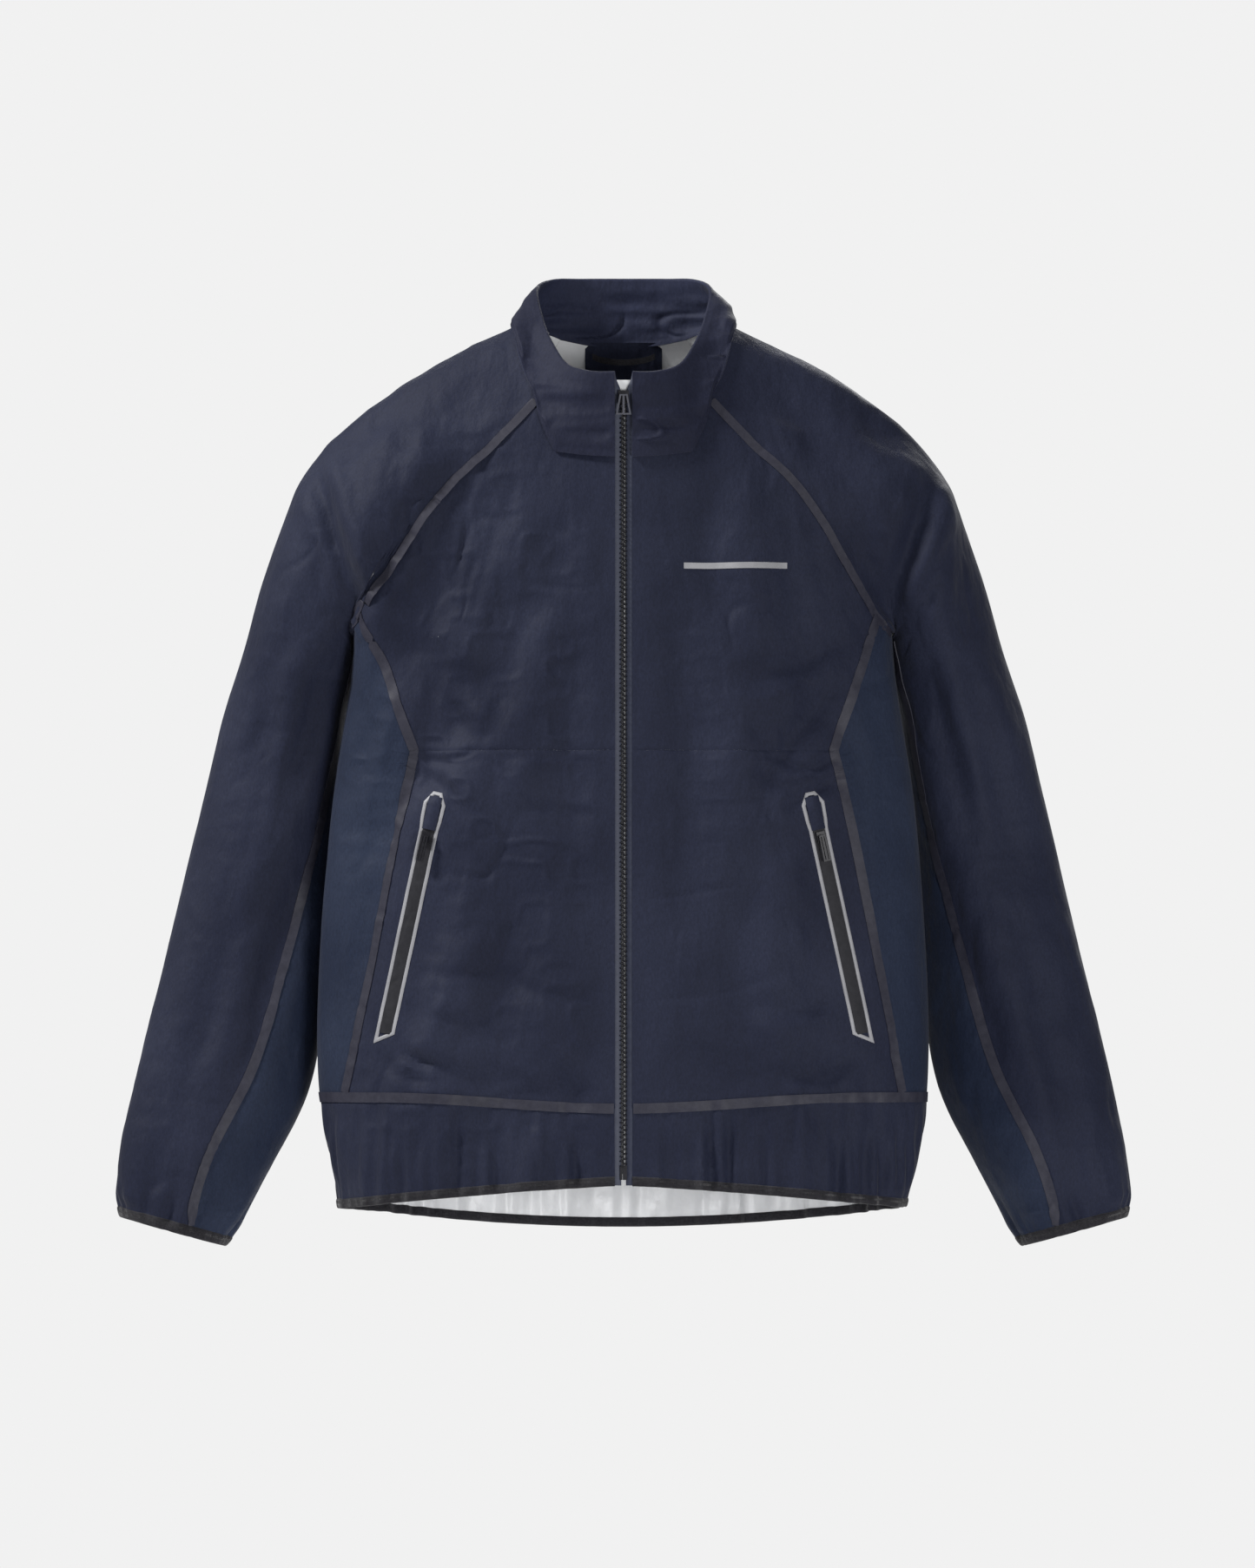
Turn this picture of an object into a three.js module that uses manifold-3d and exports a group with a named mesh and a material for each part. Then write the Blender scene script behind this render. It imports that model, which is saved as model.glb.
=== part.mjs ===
// Foul weather jacket: a bonded-seam shell with raglan sleeves, a front zip and two welted zip pockets,
// standing open as if worn. Millimetres, +Z up, the chest faces -Y, the wearer's right is -X.
// The origin is the point inside the back neck where the hanger loop takes the jacket's weight.
import * as THREE from "three";
import { mergeVertices } from "three/addons/utils/BufferGeometryUtils.js";
import Module from "manifold-3d";

const wasm = await Module();
wasm.setup();

// ---- driving dimensions -------------------------------------------------------------------------
const CLOTH = 1.2; // laminated shell cloth as worn: face, membrane, backer and air
const SEAM_GAP = 0.5; // each panel stops this far short of its seam line
const TAPE_WIDTH = 7;
const TAPE_THICK = 0.5;
const RAGLAN_TAPE_LIFT = 1.8;
const TAPE_LIFT = 0.9; // clearance between a bonded tape and the cloth below it
const BINDING_THICK = 2.6;

const CHEST_HALF = 223; // half widths of the body, seen from the front
const BELLY_HALF = 254;
const HEM_HALF = 232;
const CHEST_Z = -240; // heights of those widths
const BELLY_Z = -580;
const HEM_Z = -714; // hem height at the sides
const FRONT_HEM_RISE = 19; // the front hem is cut higher than the sides, the back hem lower
const BACK_HEM_DROP = 17;
const HEM_BINDING_HEIGHT = 8;

const SIDE_Y = -45; // depth of the side line and of the shoulder line
const SIDE_SET_BACK = 7; // the hem's side line lies this much further forward
const BACK_DEPTH = 90; // from the side line to the back
const ZIP_TOP_Y = -118; // the front edge is straight, so that the zip can run
const ZIP_TOP_Z = -22;
const ZIP_LEAN = 0.0478; // forward fall for each millimetre down
const ZIP_BOTTOM_Z = -690;

const NECK_SIDE = [-85, 24]; // the high shoulder point, [x, z]
const NECK_FRONT = [-73, -40]; // where the front raglan seam meets the collar
const NECK_CORNER = [-56, -84];
const NECK_CENTRE_Z = -88;
const NECK_BACK = [-52, 9]; // where the back raglan seam meets the collar
const NECK_BACK_Z = 3;
const COLLAR_BACK_TOP = 58;
const COLLAR_FRONT_TOP = -20;

const UNDERARM = [-CHEST_HALF, -237];
const ARM_JUNCTION = [-212, -221];
const BACK_JUNCTION = [-206, -222];
const SHOULDER_POINT = [-275, -125]; // outer end of the shoulder, where the sleeve swings
const SLEEVE_ROOT = [-228, -244]; // underarm end of the armhole ring

const WAIST_Z = -334;
const BAND_SEAM_SIDE = -622; // height of the hem band's seam at the sides and at the zip
const BAND_SEAM_ZIP = -631;

const ZIP_HALF = 7; // half the width of both zip tapes together
const CHAIN_HALF = 2.8;
const CHAIN_GAP = 0.6; // half the slot between the two chains
const CHAIN_THICK = 2.4;
const TOOTH_PITCH = 12; // the teeth stand in blocks of this length

const POCKET_TOP = [-160.5, -396]; // upper end of the pocket's opening
const POCKET_END = [-198, -570];
const POCKET_ZIP_WIDTH = 10;
const POCKET_FRAME_WIDTH = 3;
const POCKET_BAG_DEPTH = 150;

const PULL_LENGTH = 17;
const PULL_THICK = 1.6;

// ---- colours ------------------------------------------------------------------------------------
const finish = (color, roughness, metalness = 0) =>
  new THREE.MeshStandardMaterial({ color, roughness, metalness });
const NAVY = finish(0x2e344a, 0.78);
const SIDE_NAVY = finish(0x333d58, 0.78);
const TAPE_GREY = finish(0x45444c, 0.6);
const REFLECTIVE = finish(0xa3a3a6, 0.4, 0.2);
const BLACK = finish(0x24252a, 0.6);
const LINING = finish(0xd0d0d2, 0.45);
const BINDING = finish(0x20212b, 0.85);

// ---- small mathematics --------------------------------------------------------------------------
const clamp01 = (t) => Math.min(1, Math.max(0, t));
const lerp = (a, b, t) => a + (b - a) * t;
const smooth = (t) => clamp01(t) ** 2 * (3 - 2 * clamp01(t));
const arch = (t, power) => Math.max(0, 1 - Math.abs(t) ** power) ** (1 / power);
const mix = (a, b, t) => a.map((value, i) => lerp(value, b[i], t));

// A smooth curve through points given as [x, z], or as [x, y, z].
function spline(points) {
  const flat = points[0].length === 2;
  const curve = new THREE.CatmullRomCurve3(
    points.map((p) => new THREE.Vector3(p[0], flat ? 0 : p[1], flat ? p[1] : p[2])),
    false,
    "centripetal",
  );
  return (t) => {
    const p = curve.getPoint(clamp01(t));
    return flat ? [p.x, p.z] : [p.x, p.y, p.z];
  };
}

// A value that follows a list of [position, value] rows.
function profile(rows) {
  const curve = spline(rows);
  const first = rows[0][0];
  const last = rows[rows.length - 1][0];
  return (at) => {
    let low = 0;
    let high = 1;
    for (let i = 0; i < 24; i++) {
      const middle = (low + high) / 2;
      const before = (curve(middle)[0] - at) * Math.sign(last - first) < 0;
      if (before) low = middle;
      else high = middle;
    }
    return curve(low)[1];
  };
}

// ---- the body surface: a point for each [angle, z], angle 0 at the zip and 180 degrees at the bac
const halfWidth = profile([
  [60, CHEST_HALF],
  [CHEST_Z, CHEST_HALF],
  [(CHEST_Z + BELLY_Z) / 2 + 20, lerp(CHEST_HALF, BELLY_HALF, 0.65)],
  [BELLY_Z, BELLY_HALF],
  [HEM_Z + 48, lerp(BELLY_HALF, HEM_HALF, 0.34)],
  [HEM_Z - 25, HEM_HALF - 2],
]);
const shoulderFront = profile([
  [0, 60],
  [-NECK_SIDE[0], NECK_SIDE[1]],
  [110, 2],
  [200, -40],
  [250, -84],
]);
const shoulderBack = profile([
  [0, 51],
  [-NECK_SIDE[0], NECK_SIDE[1]],
  [110, 2],
  [200, -40],
  [250, -84],
]);
const zipY = (z) => ZIP_TOP_Y + (z - ZIP_TOP_Z) * ZIP_LEAN;
const sideY = (z) => SIDE_Y - SIDE_SET_BACK * smooth((CHEST_Z - z) / (CHEST_Z - HEM_Z));
const FRONT_ROUND = 2.5; // powers of the arches that shape the front and the back in plan
const BACK_ROUND = 2.05;
const SHOULDER_START = -230; // below this the shoulders no longer pull the cloth in
const SHOULDER_ROUND = 2.2;

function shoulderPull(x, z, top) {
  return arch(clamp01((z - SHOULDER_START) / (top(Math.abs(x)) - SHOULDER_START)), SHOULDER_ROUND);
}
function frontY(x, z) {
  const centreHold = 1 - (1 - shoulderPull(x, z, shoulderFront)) * smooth(Math.abs(x) / 80);
  const depth = sideY(z) - zipY(z);
  return sideY(z) - depth * arch(x / halfWidth(z), FRONT_ROUND) * centreHold;
}
function backY(x, z) {
  const depth = BACK_DEPTH * arch(x / halfWidth(z), BACK_ROUND);
  return sideY(z) + depth * shoulderPull(x, z, shoulderBack);
}
function bodyPoint([angle, z]) {
  const x = halfWidth(z) * Math.sin(angle);
  const y = Math.cos(angle) >= 0 ? frontY(x, z) : backY(x, z);
  return new THREE.Vector3(x, y, z);
}
const onFront = ([x, z]) => [Math.asin(Math.max(-1, Math.min(1, x / halfWidth(z)))), z];
const onBack = ([x, z]) => [-Math.PI - onFront([x, z])[0], z];

// Outward normal of a surface given by a pair of numbers, from small steps each way.
function normalOf(surface, [a, b], stepA, stepB) {
  const da = surface([a + stepA, b]).sub(surface([a - stepA, b]));
  const db = surface([a, b + stepB]).sub(surface([a, b - stepB]));
  return da.cross(db).normalize();
}
const bodyNormal = (at) => normalOf(bodyPoint, at, 0.004, 0.8);

// ---- seam lines on the body, as seen from the front, for the wearer's right ---------------------
const neckFrontLine = spline([NECK_SIDE, [-77, -20], NECK_FRONT]);
const neckFrontLower = spline([NECK_FRONT, [-67, -60], NECK_CORNER]);
const neckFrontCentre = spline([NECK_CORNER, [-30, -87], [-ZIP_HALF, NECK_CENTRE_Z]]);
const neckBackLine = spline([NECK_SIDE, [-72, 18], NECK_BACK]);
const neckBackCentre = spline([NECK_BACK, [-28, 4.5], [0, NECK_BACK_Z]]);
const raglanFront = spline([NECK_FRONT, [-107, -76], [-142, -108], [-164, -137], ARM_JUNCTION]);
const raglanBack = spline([NECK_BACK, [-76, -28], [-112, -86], [-160, -150], BACK_JUNCTION]);
const gussetFront = spline([ARM_JUNCTION, UNDERARM]);
const gussetBack = spline([BACK_JUNCTION, UNDERARM]);
const SIDE_KINK = [-175, WAIST_Z];
const sideSeamUpper = spline([ARM_JUNCTION, [-189, -291], SIDE_KINK]);
const sideSeamLower = spline([SIDE_KINK, [-181, -360], [-233, BAND_SEAM_SIDE + 1]]);
const backSeam = spline([BACK_JUNCTION, [-192, -300], [-190, -400], [-222, BAND_SEAM_SIDE + 1]]);
const bandSeamZ = (x) => lerp(BAND_SEAM_ZIP, BAND_SEAM_SIDE, smooth(Math.abs(x) / 200));
const frontHemZ = (x) => HEM_Z + FRONT_HEM_RISE * (1 - (Math.abs(x) / HEM_HALF) ** 1.3);
const backHemZ = (x) => HEM_Z - BACK_HEM_DROP * (1 - (Math.abs(x) / HEM_HALF) ** 2);

// ---- meshes -------------------------------------------------------------------------------------
const jacket = new THREE.Group();

function addMesh(name, geometry, material) {
  const mesh = new THREE.Mesh(geometry, material);
  mesh.name = name;
  jacket.add(mesh);
  return mesh;
}
function geometryFrom(positions, triangles) {
  const geometry = new THREE.BufferGeometry();
  geometry.setAttribute("position", new THREE.Float32BufferAttribute(positions, 3));
  geometry.setIndex(triangles);
  return geometry;
}
// Six times the volume that a list of triangles encloses, negative when they face inwards.
function signedVolume(points, triangles) {
  let sum = 0;
  for (let i = 0; i < triangles.length; i += 3) {
    const [a, b, c] = [0, 1, 2].map((k) => points[triangles[i + k]]);
    sum += a.dot(b.clone().cross(c));
  }
  return sum;
}
function closedGeometry(points, triangles) {
  if (signedVolume(points, triangles) < 0) triangles.reverse();
  return geometryFrom(points.flatMap((p) => [p.x, p.y, p.z]), triangles);
}

// A wall between two grids of points, closed round its edges. columns run along u, rows along v.
function wallBetween(outer, inner, columns, rows, closedLoop = false) {
  const across = closedLoop ? columns : columns + 1;
  const points = [...outer.flat(), ...inner.flat()];
  const half = across * (rows + 1);
  const at = (i, j, layer) => layer * half + j * across + (i % across);
  const triangles = [];
  const quad = (a, b, c, d) => triangles.push(a, b, c, a, c, d);
  for (let j = 0; j < rows; j++) {
    for (let i = 0; i < columns; i++) {
      quad(at(i, j, 0), at(i + 1, j, 0), at(i + 1, j + 1, 0), at(i, j + 1, 0));
      quad(at(i, j, 1), at(i, j + 1, 1), at(i + 1, j + 1, 1), at(i + 1, j, 1));
    }
    if (closedLoop) continue;
    quad(at(0, j, 0), at(0, j + 1, 0), at(0, j + 1, 1), at(0, j, 1));
    quad(at(columns, j, 0), at(columns, j, 1), at(columns, j + 1, 1), at(columns, j + 1, 0));
  }
  for (let i = 0; i < columns; i++) {
    quad(at(i, 0, 0), at(i, 0, 1), at(i + 1, 0, 1), at(i + 1, 0, 0));
    quad(at(i, rows, 0), at(i + 1, rows, 0), at(i + 1, rows, 1), at(i, rows, 1));
  }
  return closedGeometry(points, triangles);
}

// A sheet of cloth on a surface. place(u, v) gives { p, n }: a point and the outward normal there.
function sheet(place, columns, rows, { lift = 0, thick = CLOTH, closedLoop = false } = {}) {
  const across = closedLoop ? columns : columns + 1;
  const outer = [];
  const inner = [];
  for (let j = 0; j <= rows; j++) {
    const line = Array.from({ length: across }, (_, i) => place(i / columns, j / rows));
    outer.push(line.map(({ p, n }) => p.clone().addScaledVector(n, lift + thick)));
    inner.push(line.map(({ p, n }) => p.clone().addScaledVector(n, lift)));
  }
  return wallBetween(outer, inner, columns, rows, closedLoop);
}
// Shared corners only: normals and uv go, and equal points become one.
function withoutExtras(geometry) {
  const bare = geometry.clone();
  bare.deleteAttribute("normal");
  bare.deleteAttribute("uv");
  return mergeVertices(bare, 1e-4);
}
// The same piece on both sides of the jacket: x turns over for the wearer's left.
function bothSides(name, made, material) {
  const geometry = made.index ? made : withoutExtras(made);
  addMesh(name + "_right", geometry, material);
  const position = geometry.getAttribute("position");
  const points = [];
  for (let i = 0; i < position.count; i++) {
    points.push(new THREE.Vector3(-position.getX(i), position.getY(i), position.getZ(i)));
  }
  addMesh(name + "_left", closedGeometry(points, [...geometry.index.array]), material);
}

// A patch of the body between four edges, each a function of 0..1 that gives [angle, z].
function patchPlace(bottom, top, start, end) {
  const lengthOf = (line) => {
    let sum = 0;
    for (let i = 0; i < 8; i++) sum += bodyPoint(line(i / 8)).distanceTo(bodyPoint(line((i + 1) / 8)));
    return sum;
  };
  const insetU = SEAM_GAP / Math.min(lengthOf(bottom), lengthOf(top));
  const insetV = SEAM_GAP / Math.min(lengthOf(start), lengthOf(end));
  return (u0, v0) => {
    const u = lerp(insetU, 1 - insetU, u0);
    const v = lerp(insetV, 1 - insetV, v0);
    const ruled = mix(bottom(u), top(u), v);
    const crossed = mix(start(v), end(v), u);
    const corners = mix(mix(bottom(0), bottom(1), u), mix(top(0), top(1), u), v);
    const at = ruled.map((value, i) => value + crossed[i] - corners[i]);
    const n = bodyNormal(at);
    return { p: bodyPoint(at).addScaledVector(n, -CLOTH), n };
  };
}
const frontEdge = (line) => (t) => onFront(line(t));
const backEdge = (line) => (t) => onBack(line(t));
const reversed = (line) => (t) => line(1 - t);
// Two lines end to end, sharing 0..1 at the given place.
const joined = (first, second, at) => (t) => (t < at ? first(t / at) : second((t - at) / (1 - at)));

// ---- body panels --------------------------------------------------------------------------------
const zipEdge = (low, high) => (t) => onFront([-ZIP_HALF, lerp(low, high, t)]);
const waistLine = (t) => onFront([lerp(-ZIP_HALF, SIDE_KINK[0], t), WAIST_Z]);
const bandLine = (t) => {
  const x = lerp(-ZIP_HALF, -233, t);
  return onFront([x, bandSeamZ(x)]);
};

const NECK_CORNER_SHARE = 0.52; // where a panel's edge passes from one seam to the next, as a share of it
const NECK_SHARE = 0.34;
const SIDE_KINK_SHARE = 0.3;
const RAGLAN_SHARE = 0.68;
const BACK_ROW_POWER = 1.9; // the back panel's rows stand closer together towards the shoulders

function bodyPanels() {
  const neckEdge = joined(reversed(neckFrontCentre), reversed(neckFrontLower), NECK_CORNER_SHARE);
  const upperTop = joined(neckEdge, raglanFront, NECK_SHARE);
  bothSides(
    "front_upper",
    sheet(
      patchPlace(
        waistLine,
        frontEdge(upperTop),
        zipEdge(WAIST_Z, NECK_CENTRE_Z),
        frontEdge(reversed(sideSeamUpper)),
      ),
      14,
      6,
    ),
    NAVY,
  );
  bothSides(
    "front_lower",
    sheet(
      patchPlace(bandLine, waistLine, zipEdge(BAND_SEAM_ZIP, WAIST_Z), frontEdge(reversed(sideSeamLower))),
      6,
      7,
    ),
    NAVY,
  );
  const sideFront = frontEdge(joined(sideSeamUpper, sideSeamLower, SIDE_KINK_SHARE));
  const sideBack = backEdge(backSeam);
  const sideTop = joined(frontEdge(gussetFront), backEdge(reversed(gussetBack)), 0.5);
  const sideBottom = (t) => [lerp(sideFront(1)[0], sideBack(1)[0], t), BAND_SEAM_SIDE];
  bothSides(
    "side_panel",
    sheet(patchPlace(sideTop, sideBottom, sideFront, sideBack), 6, 10),
    SIDE_NAVY,
  );
  // The back is one panel, so its far half repeats the near one turned over.
  const overTo = (line) => (t) => {
    const [angle, z] = line(t);
    return [-2 * Math.PI - angle, z];
  };
  const neck = backEdge(neckBackCentre);
  const raglan = backEdge(raglanBack);
  const bottom = (t) => [lerp(sideBack(1)[0], overTo(sideBack)(1)[0], t), BAND_SEAM_SIDE];
  const topHalf = joined(reversed(raglan), neck, RAGLAN_SHARE);
  const top = (t) => (t < 0.5 ? topHalf(t * 2) : overTo(topHalf)(2 - t * 2));
  const backPlace = patchPlace(bottom, top, reversed(sideBack), reversed(overTo(sideBack)));
  const closerAtTop = (u, v) => backPlace(u, 1 - (1 - v) ** BACK_ROW_POWER);
  addMesh("back_panel", sheet(closerAtTop, 18, 10), NAVY);
}

// ---- hem band and binding -----------------------------------------------------------------------
const hemZ = (angle) => {
  const x = halfWidth(HEM_Z) * Math.sin(angle);
  return Math.cos(angle) >= 0 ? frontHemZ(x) : backHemZ(x);
};
const bandTopZ = (angle) =>
  Math.cos(angle) >= 0 ? bandSeamZ(halfWidth(BAND_SEAM_SIDE) * Math.sin(angle)) : BAND_SEAM_SIDE;

function hemPieces() {
  const zipAngle = onFront([-ZIP_HALF - SEAM_GAP, BAND_SEAM_ZIP])[0];
  const sideAngle = -Math.PI / 2;
  const band = (from, to) => (u, v) => {
    const angle = lerp(from, to, u);
    const low = hemZ(angle) + HEM_BINDING_HEIGHT + 2 * SEAM_GAP;
    const at = [angle, lerp(low, bandTopZ(angle) - SEAM_GAP, v)];
    const n = bodyNormal(at);
    return { p: bodyPoint(at).addScaledVector(n, -CLOTH), n };
  };
  const gapAngle = SEAM_GAP / HEM_HALF;
  bothSides("hem_band", sheet(band(zipAngle, sideAngle + gapAngle), 10, 3), NAVY);
  addMesh(
    "hem_band_back",
    sheet(band(sideAngle - gapAngle, -1.5 * Math.PI + gapAngle), 20, 3),
    NAVY,
  );
  const bindingPlace = (u, v) => {
    const angle = lerp(zipAngle, -2 * Math.PI - zipAngle, u);
    const at = [angle, hemZ(angle) + v * HEM_BINDING_HEIGHT];
    const n = bodyNormal(at);
    return { p: bodyPoint(at).addScaledVector(n, -CLOTH - 0.6), n };
  };
  addMesh("hem_binding", sheet(bindingPlace, 40, 1, { thick: BINDING_THICK }), BINDING);
}

// ---- sleeves: rings from the raglan seam to the cuff --------------------------------------------
// Turn 0 is the top of the sleeve, 0.25 the front, 0.5 the underarm and 0.75 the back.
const FRONT_NECK_TURN = 0.055;
const JUNCTION_TURN = 0.46;
function raglanLoop(turn) {
  const front = turn <= 0.5;
  const t = front ? turn : 1 - turn;
  const neck = front ? neckFrontLine : neckBackLine;
  const raglan = front ? raglanFront : raglanBack;
  const gusset = front ? gussetFront : gussetBack;
  let line = gusset((t - JUNCTION_TURN) / (0.5 - JUNCTION_TURN));
  if (t < JUNCTION_TURN) line = raglan((t - FRONT_NECK_TURN) / (JUNCTION_TURN - FRONT_NECK_TURN));
  if (t < FRONT_NECK_TURN) line = neck(t / FRONT_NECK_TURN);
  return front ? onFront(line) : onBack(line);
}
// Each row: outer [x, z], inner [x, z], centre y and half depth.
const STATIONS = [
  [SHOULDER_POINT, SLEEVE_ROOT, -26, 60],
  [[-300, -195], [-229, -266], -18, 58],
  [[-316, -253], [-231, -298], -10, 57],
  [[-333, -307], [-233, -340], -4, 56],
  [[-348, -370], [-237, -394], -1, 55],
  [[-363, -432], [-241, -454], -1, 54],
  [[-380, -504], [-247, -528], -6, 53],
  [[-402, -598], [-261, -614], -16, 51],
  [[-416, -662], [-290, -674], -26, 46],
  [[-420, -700], [-316, -720], -31, 39],
  [[-419, -713], [-327, -738], -33, 35],
];
const CUFF_TOP_DROP = 0.5;
const CUFF_END = [[-418, -722], [-331, -746], -34, 34];
const stationLine = [0, 1].map((k) => spline(STATIONS.map((row) => row[k])));
const stationDepth = [2, 3].map((k) => spline(STATIONS.map((row, i) => [i, row[k]])));
function tubePoint(turn, along) {
  const [outer, inner] = stationLine.map((line) => line(along));
  const [centreY, depth] = stationDepth.map((line) => line(along)[1]);
  const angle = turn * 2 * Math.PI;
  const across = (1 + Math.cos(angle)) / 2;
  const [x, z] = mix(inner, outer, across);
  return new THREE.Vector3(x, centreY - depth * Math.sin(angle), z);
}
const HEAD_REACH_START = 0.95; // how strongly the sleeve leaves the body's slope, as a share of the span
const HEAD_REACH_END = 0.72; // how strongly it arrives along the arm
const HEAD_REACH_END_TOP = 1; // and over the shoulder, where it turns down roundly
const TOP_LEAVE = 0.22;
const TOP_SPREAD = 0.07; // how far round the ring the top's own numbers count
const TOP_ARRIVE_SPREAD = 0.14;
const UNDERARM_FROM = 0.4; // from this turn on, the cloth leaves the body along its normal
function headPoint(turn, along) {
  const at = raglanLoop(turn);
  const start = bodyPoint(at);
  const end = tubePoint(turn, 0);
  const span = end.clone().sub(start);
  const reach = span.length();
  const n = bodyNormal(at);
  const near = Math.min(turn, 1 - turn);
  const topShare = Math.exp(-((near / TOP_SPREAD) ** 2));
  const outward = span.clone().addScaledVector(n, -span.dot(n) * (1 - topShare)).normalize();
  const steep = new THREE.Vector3(-0.7, 0, -0.7);
  const underShare = smooth((near - UNDERARM_FROM) / (JUNCTION_TURN - UNDERARM_FROM));
  const leave = outward
    .lerp(steep, topShare)
    .lerp(n, underShare)
    .multiplyScalar(reach * lerp(HEAD_REACH_START, TOP_LEAVE, topShare));
  const arriveShare = Math.exp(-((near / TOP_ARRIVE_SPREAD) ** 2));
  const arriveReach = reach * lerp(HEAD_REACH_END, HEAD_REACH_END_TOP, arriveShare);
  const arrive = tubePoint(turn, 0.02).sub(end).normalize().multiplyScalar(arriveReach);
  const t = clamp01(along);
  const [t2, t3] = [t * t, t * t * t];
  return start
    .multiplyScalar(2 * t3 - 3 * t2 + 1)
    .addScaledVector(leave, t3 - 2 * t2 + t)
    .addScaledVector(end, 3 * t2 - 2 * t3)
    .addScaledVector(arrive, t3 - t2);
}
const wrap = (turn) => ((turn % 1) + 1) % 1;
// Along the sleeve: -1 to 0 is the head, 0 to 1 the tube.
const sleevePoint = ([turn, along]) =>
  along < 0 ? headPoint(wrap(turn), along + 1) : tubePoint(wrap(turn), along);
const sleeveNormal = (at) => normalOf(sleevePoint, at, 0.004, at[1] < 0 ? 0.006 : 0.003).negate();
const sleevePlace = (at, sink = CLOTH) => {
  const n = sleeveNormal(at);
  return { p: sleevePoint(at).addScaledVector(n, -sink), n };
};
const HEAD_SEAM_GAP = 1.6; // wider than elsewhere, because the cloth folds sharply under the arm
const headInset = (turn) => HEAD_SEAM_GAP / headPoint(turn, 0).distanceTo(tubePoint(turn, 0));
const TUBE_START = 0.003;
const FRONT_SEAM_TURN = spline([
  [0, 0.458],
  [0.25, 0.43],
  [0.45, 0.386],
  [0.7, 0.322],
  [0.86, 0.275],
  [1, 0.3],
]);
const frontSeamTurn = (along) => FRONT_SEAM_TURN(along)[1];
const backSeamTurn = (along) => lerp(0.545, 0.64, smooth(along * 1.6));

function sleevePieces() {
  const head = (u, v) => sleevePlace([1 - u, lerp(-1 + headInset(wrap(1 - u)), -0.02, v)]);
  bothSides("sleeve_head", sheet(head, 34, 5, { closedLoop: true }), NAVY);
  const edge = 0.004;
  const mainPanel = (u, v) => {
    const along = lerp(TUBE_START, 1, v);
    const from = frontSeamTurn(along) - edge;
    const to = backSeamTurn(along) - 1 + edge;
    return sleevePlace([lerp(from, to, u), along]);
  };
  bothSides("sleeve_main", sheet(mainPanel, 16, 13), NAVY);
  const underPanel = (u, v) => {
    const along = lerp(TUBE_START, 1, v);
    return sleevePlace([lerp(backSeamTurn(along) - edge, frontSeamTurn(along) + edge, u), along]);
  };
  bothSides("sleeve_under", sheet(underPanel, 6, 13), SIDE_NAVY);
  const cuff = (u, v) => {
    const top = sleevePoint([1 - u, 1]);
    const [outer, inner, centreY, depth] = CUFF_END;
    const angle = (1 - u) * 2 * Math.PI;
    const [x, z] = mix(inner, outer, (1 + Math.cos(angle)) / 2);
    const low = new THREE.Vector3(x, centreY - depth * Math.sin(angle), z);
    const n = sleeveNormal([1 - u, 0.99]);
    const gap = CUFF_TOP_DROP / (CUFF_TOP_DROP + HEM_BINDING_HEIGHT);
    return { p: top.lerp(low, lerp(1, gap, v)).addScaledVector(n, -CLOTH - 0.6), n };
  };
  bothSides("cuff_binding", sheet(cuff, 24, 1, { thick: BINDING_THICK, closedLoop: true }), BINDING);
}

// ---- bonded tapes -------------------------------------------------------------------------------
// A narrow strip along a line of { p, n }, lying on the surface.
function tape(line, steps, { width = TAPE_WIDTH, lift = TAPE_LIFT, thick = TAPE_THICK } = {}) {
  const place = (u, v) => {
    const { p, n } = line(u);
    const ahead = line(Math.min(1, u + 0.01)).p.sub(line(Math.max(0, u - 0.01)).p).normalize();
    const side = n.clone().cross(ahead).normalize();
    return { p: p.clone().addScaledVector(side, (v - 0.5) * width), n };
  };
  return sheet(place, steps, 1, { lift, thick });
}
const onBody = (line) => (t) => ({ p: bodyPoint(line(t)), n: bodyNormal(line(t)) });

// A raglan tape straddles its seam: half lies on the body and half on the sleeve head.
function raglanTape(from, to) {
  const place = (u, v) => {
    const turn = lerp(from, to, u);
    const start = headPoint(turn, 0);
    const away = headPoint(turn, 0.01).sub(start);
    const across = (v - 0.5) * TAPE_WIDTH;
    if (v > 0.5) {
      const at = [turn, -1 + (0.01 * across) / away.length()];
      return { p: sleevePoint(at), n: sleeveNormal(at) };
    }
    return { p: start.addScaledVector(away.normalize(), across), n: bodyNormal(raglanLoop(turn)) };
  };
  return sheet(place, 20, 2, { lift: RAGLAN_TAPE_LIFT, thick: TAPE_THICK });
}
// The gusset's tape runs under the arm, on the side panel just below the seam.
function gussetTape() {
  const place = (u, v) => {
    const turn = lerp(JUNCTION_TURN + 0.004, 1 - JUNCTION_TURN - 0.004, u);
    const [angle, z] = raglanLoop(turn);
    const at = [angle, z - 2 - v * TAPE_WIDTH];
    return { p: bodyPoint(at), n: bodyNormal(at) };
  };
  return sheet(place, 14, 1, { lift: TAPE_LIFT, thick: TAPE_THICK });
}

const RAGLAN_TAPE_NECK_GAP = 0.012; // tape ends stop short of the next seam, in turns of the sleeve
const RAGLAN_TAPE_END_GAP = 0.03;
const SIDE_TAPE_SHARE = [0.022, 0.983]; // where the side tapes start and end along their seams
const SLEEVE_TAPE_SHARE = [0.012, 0.995];

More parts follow.
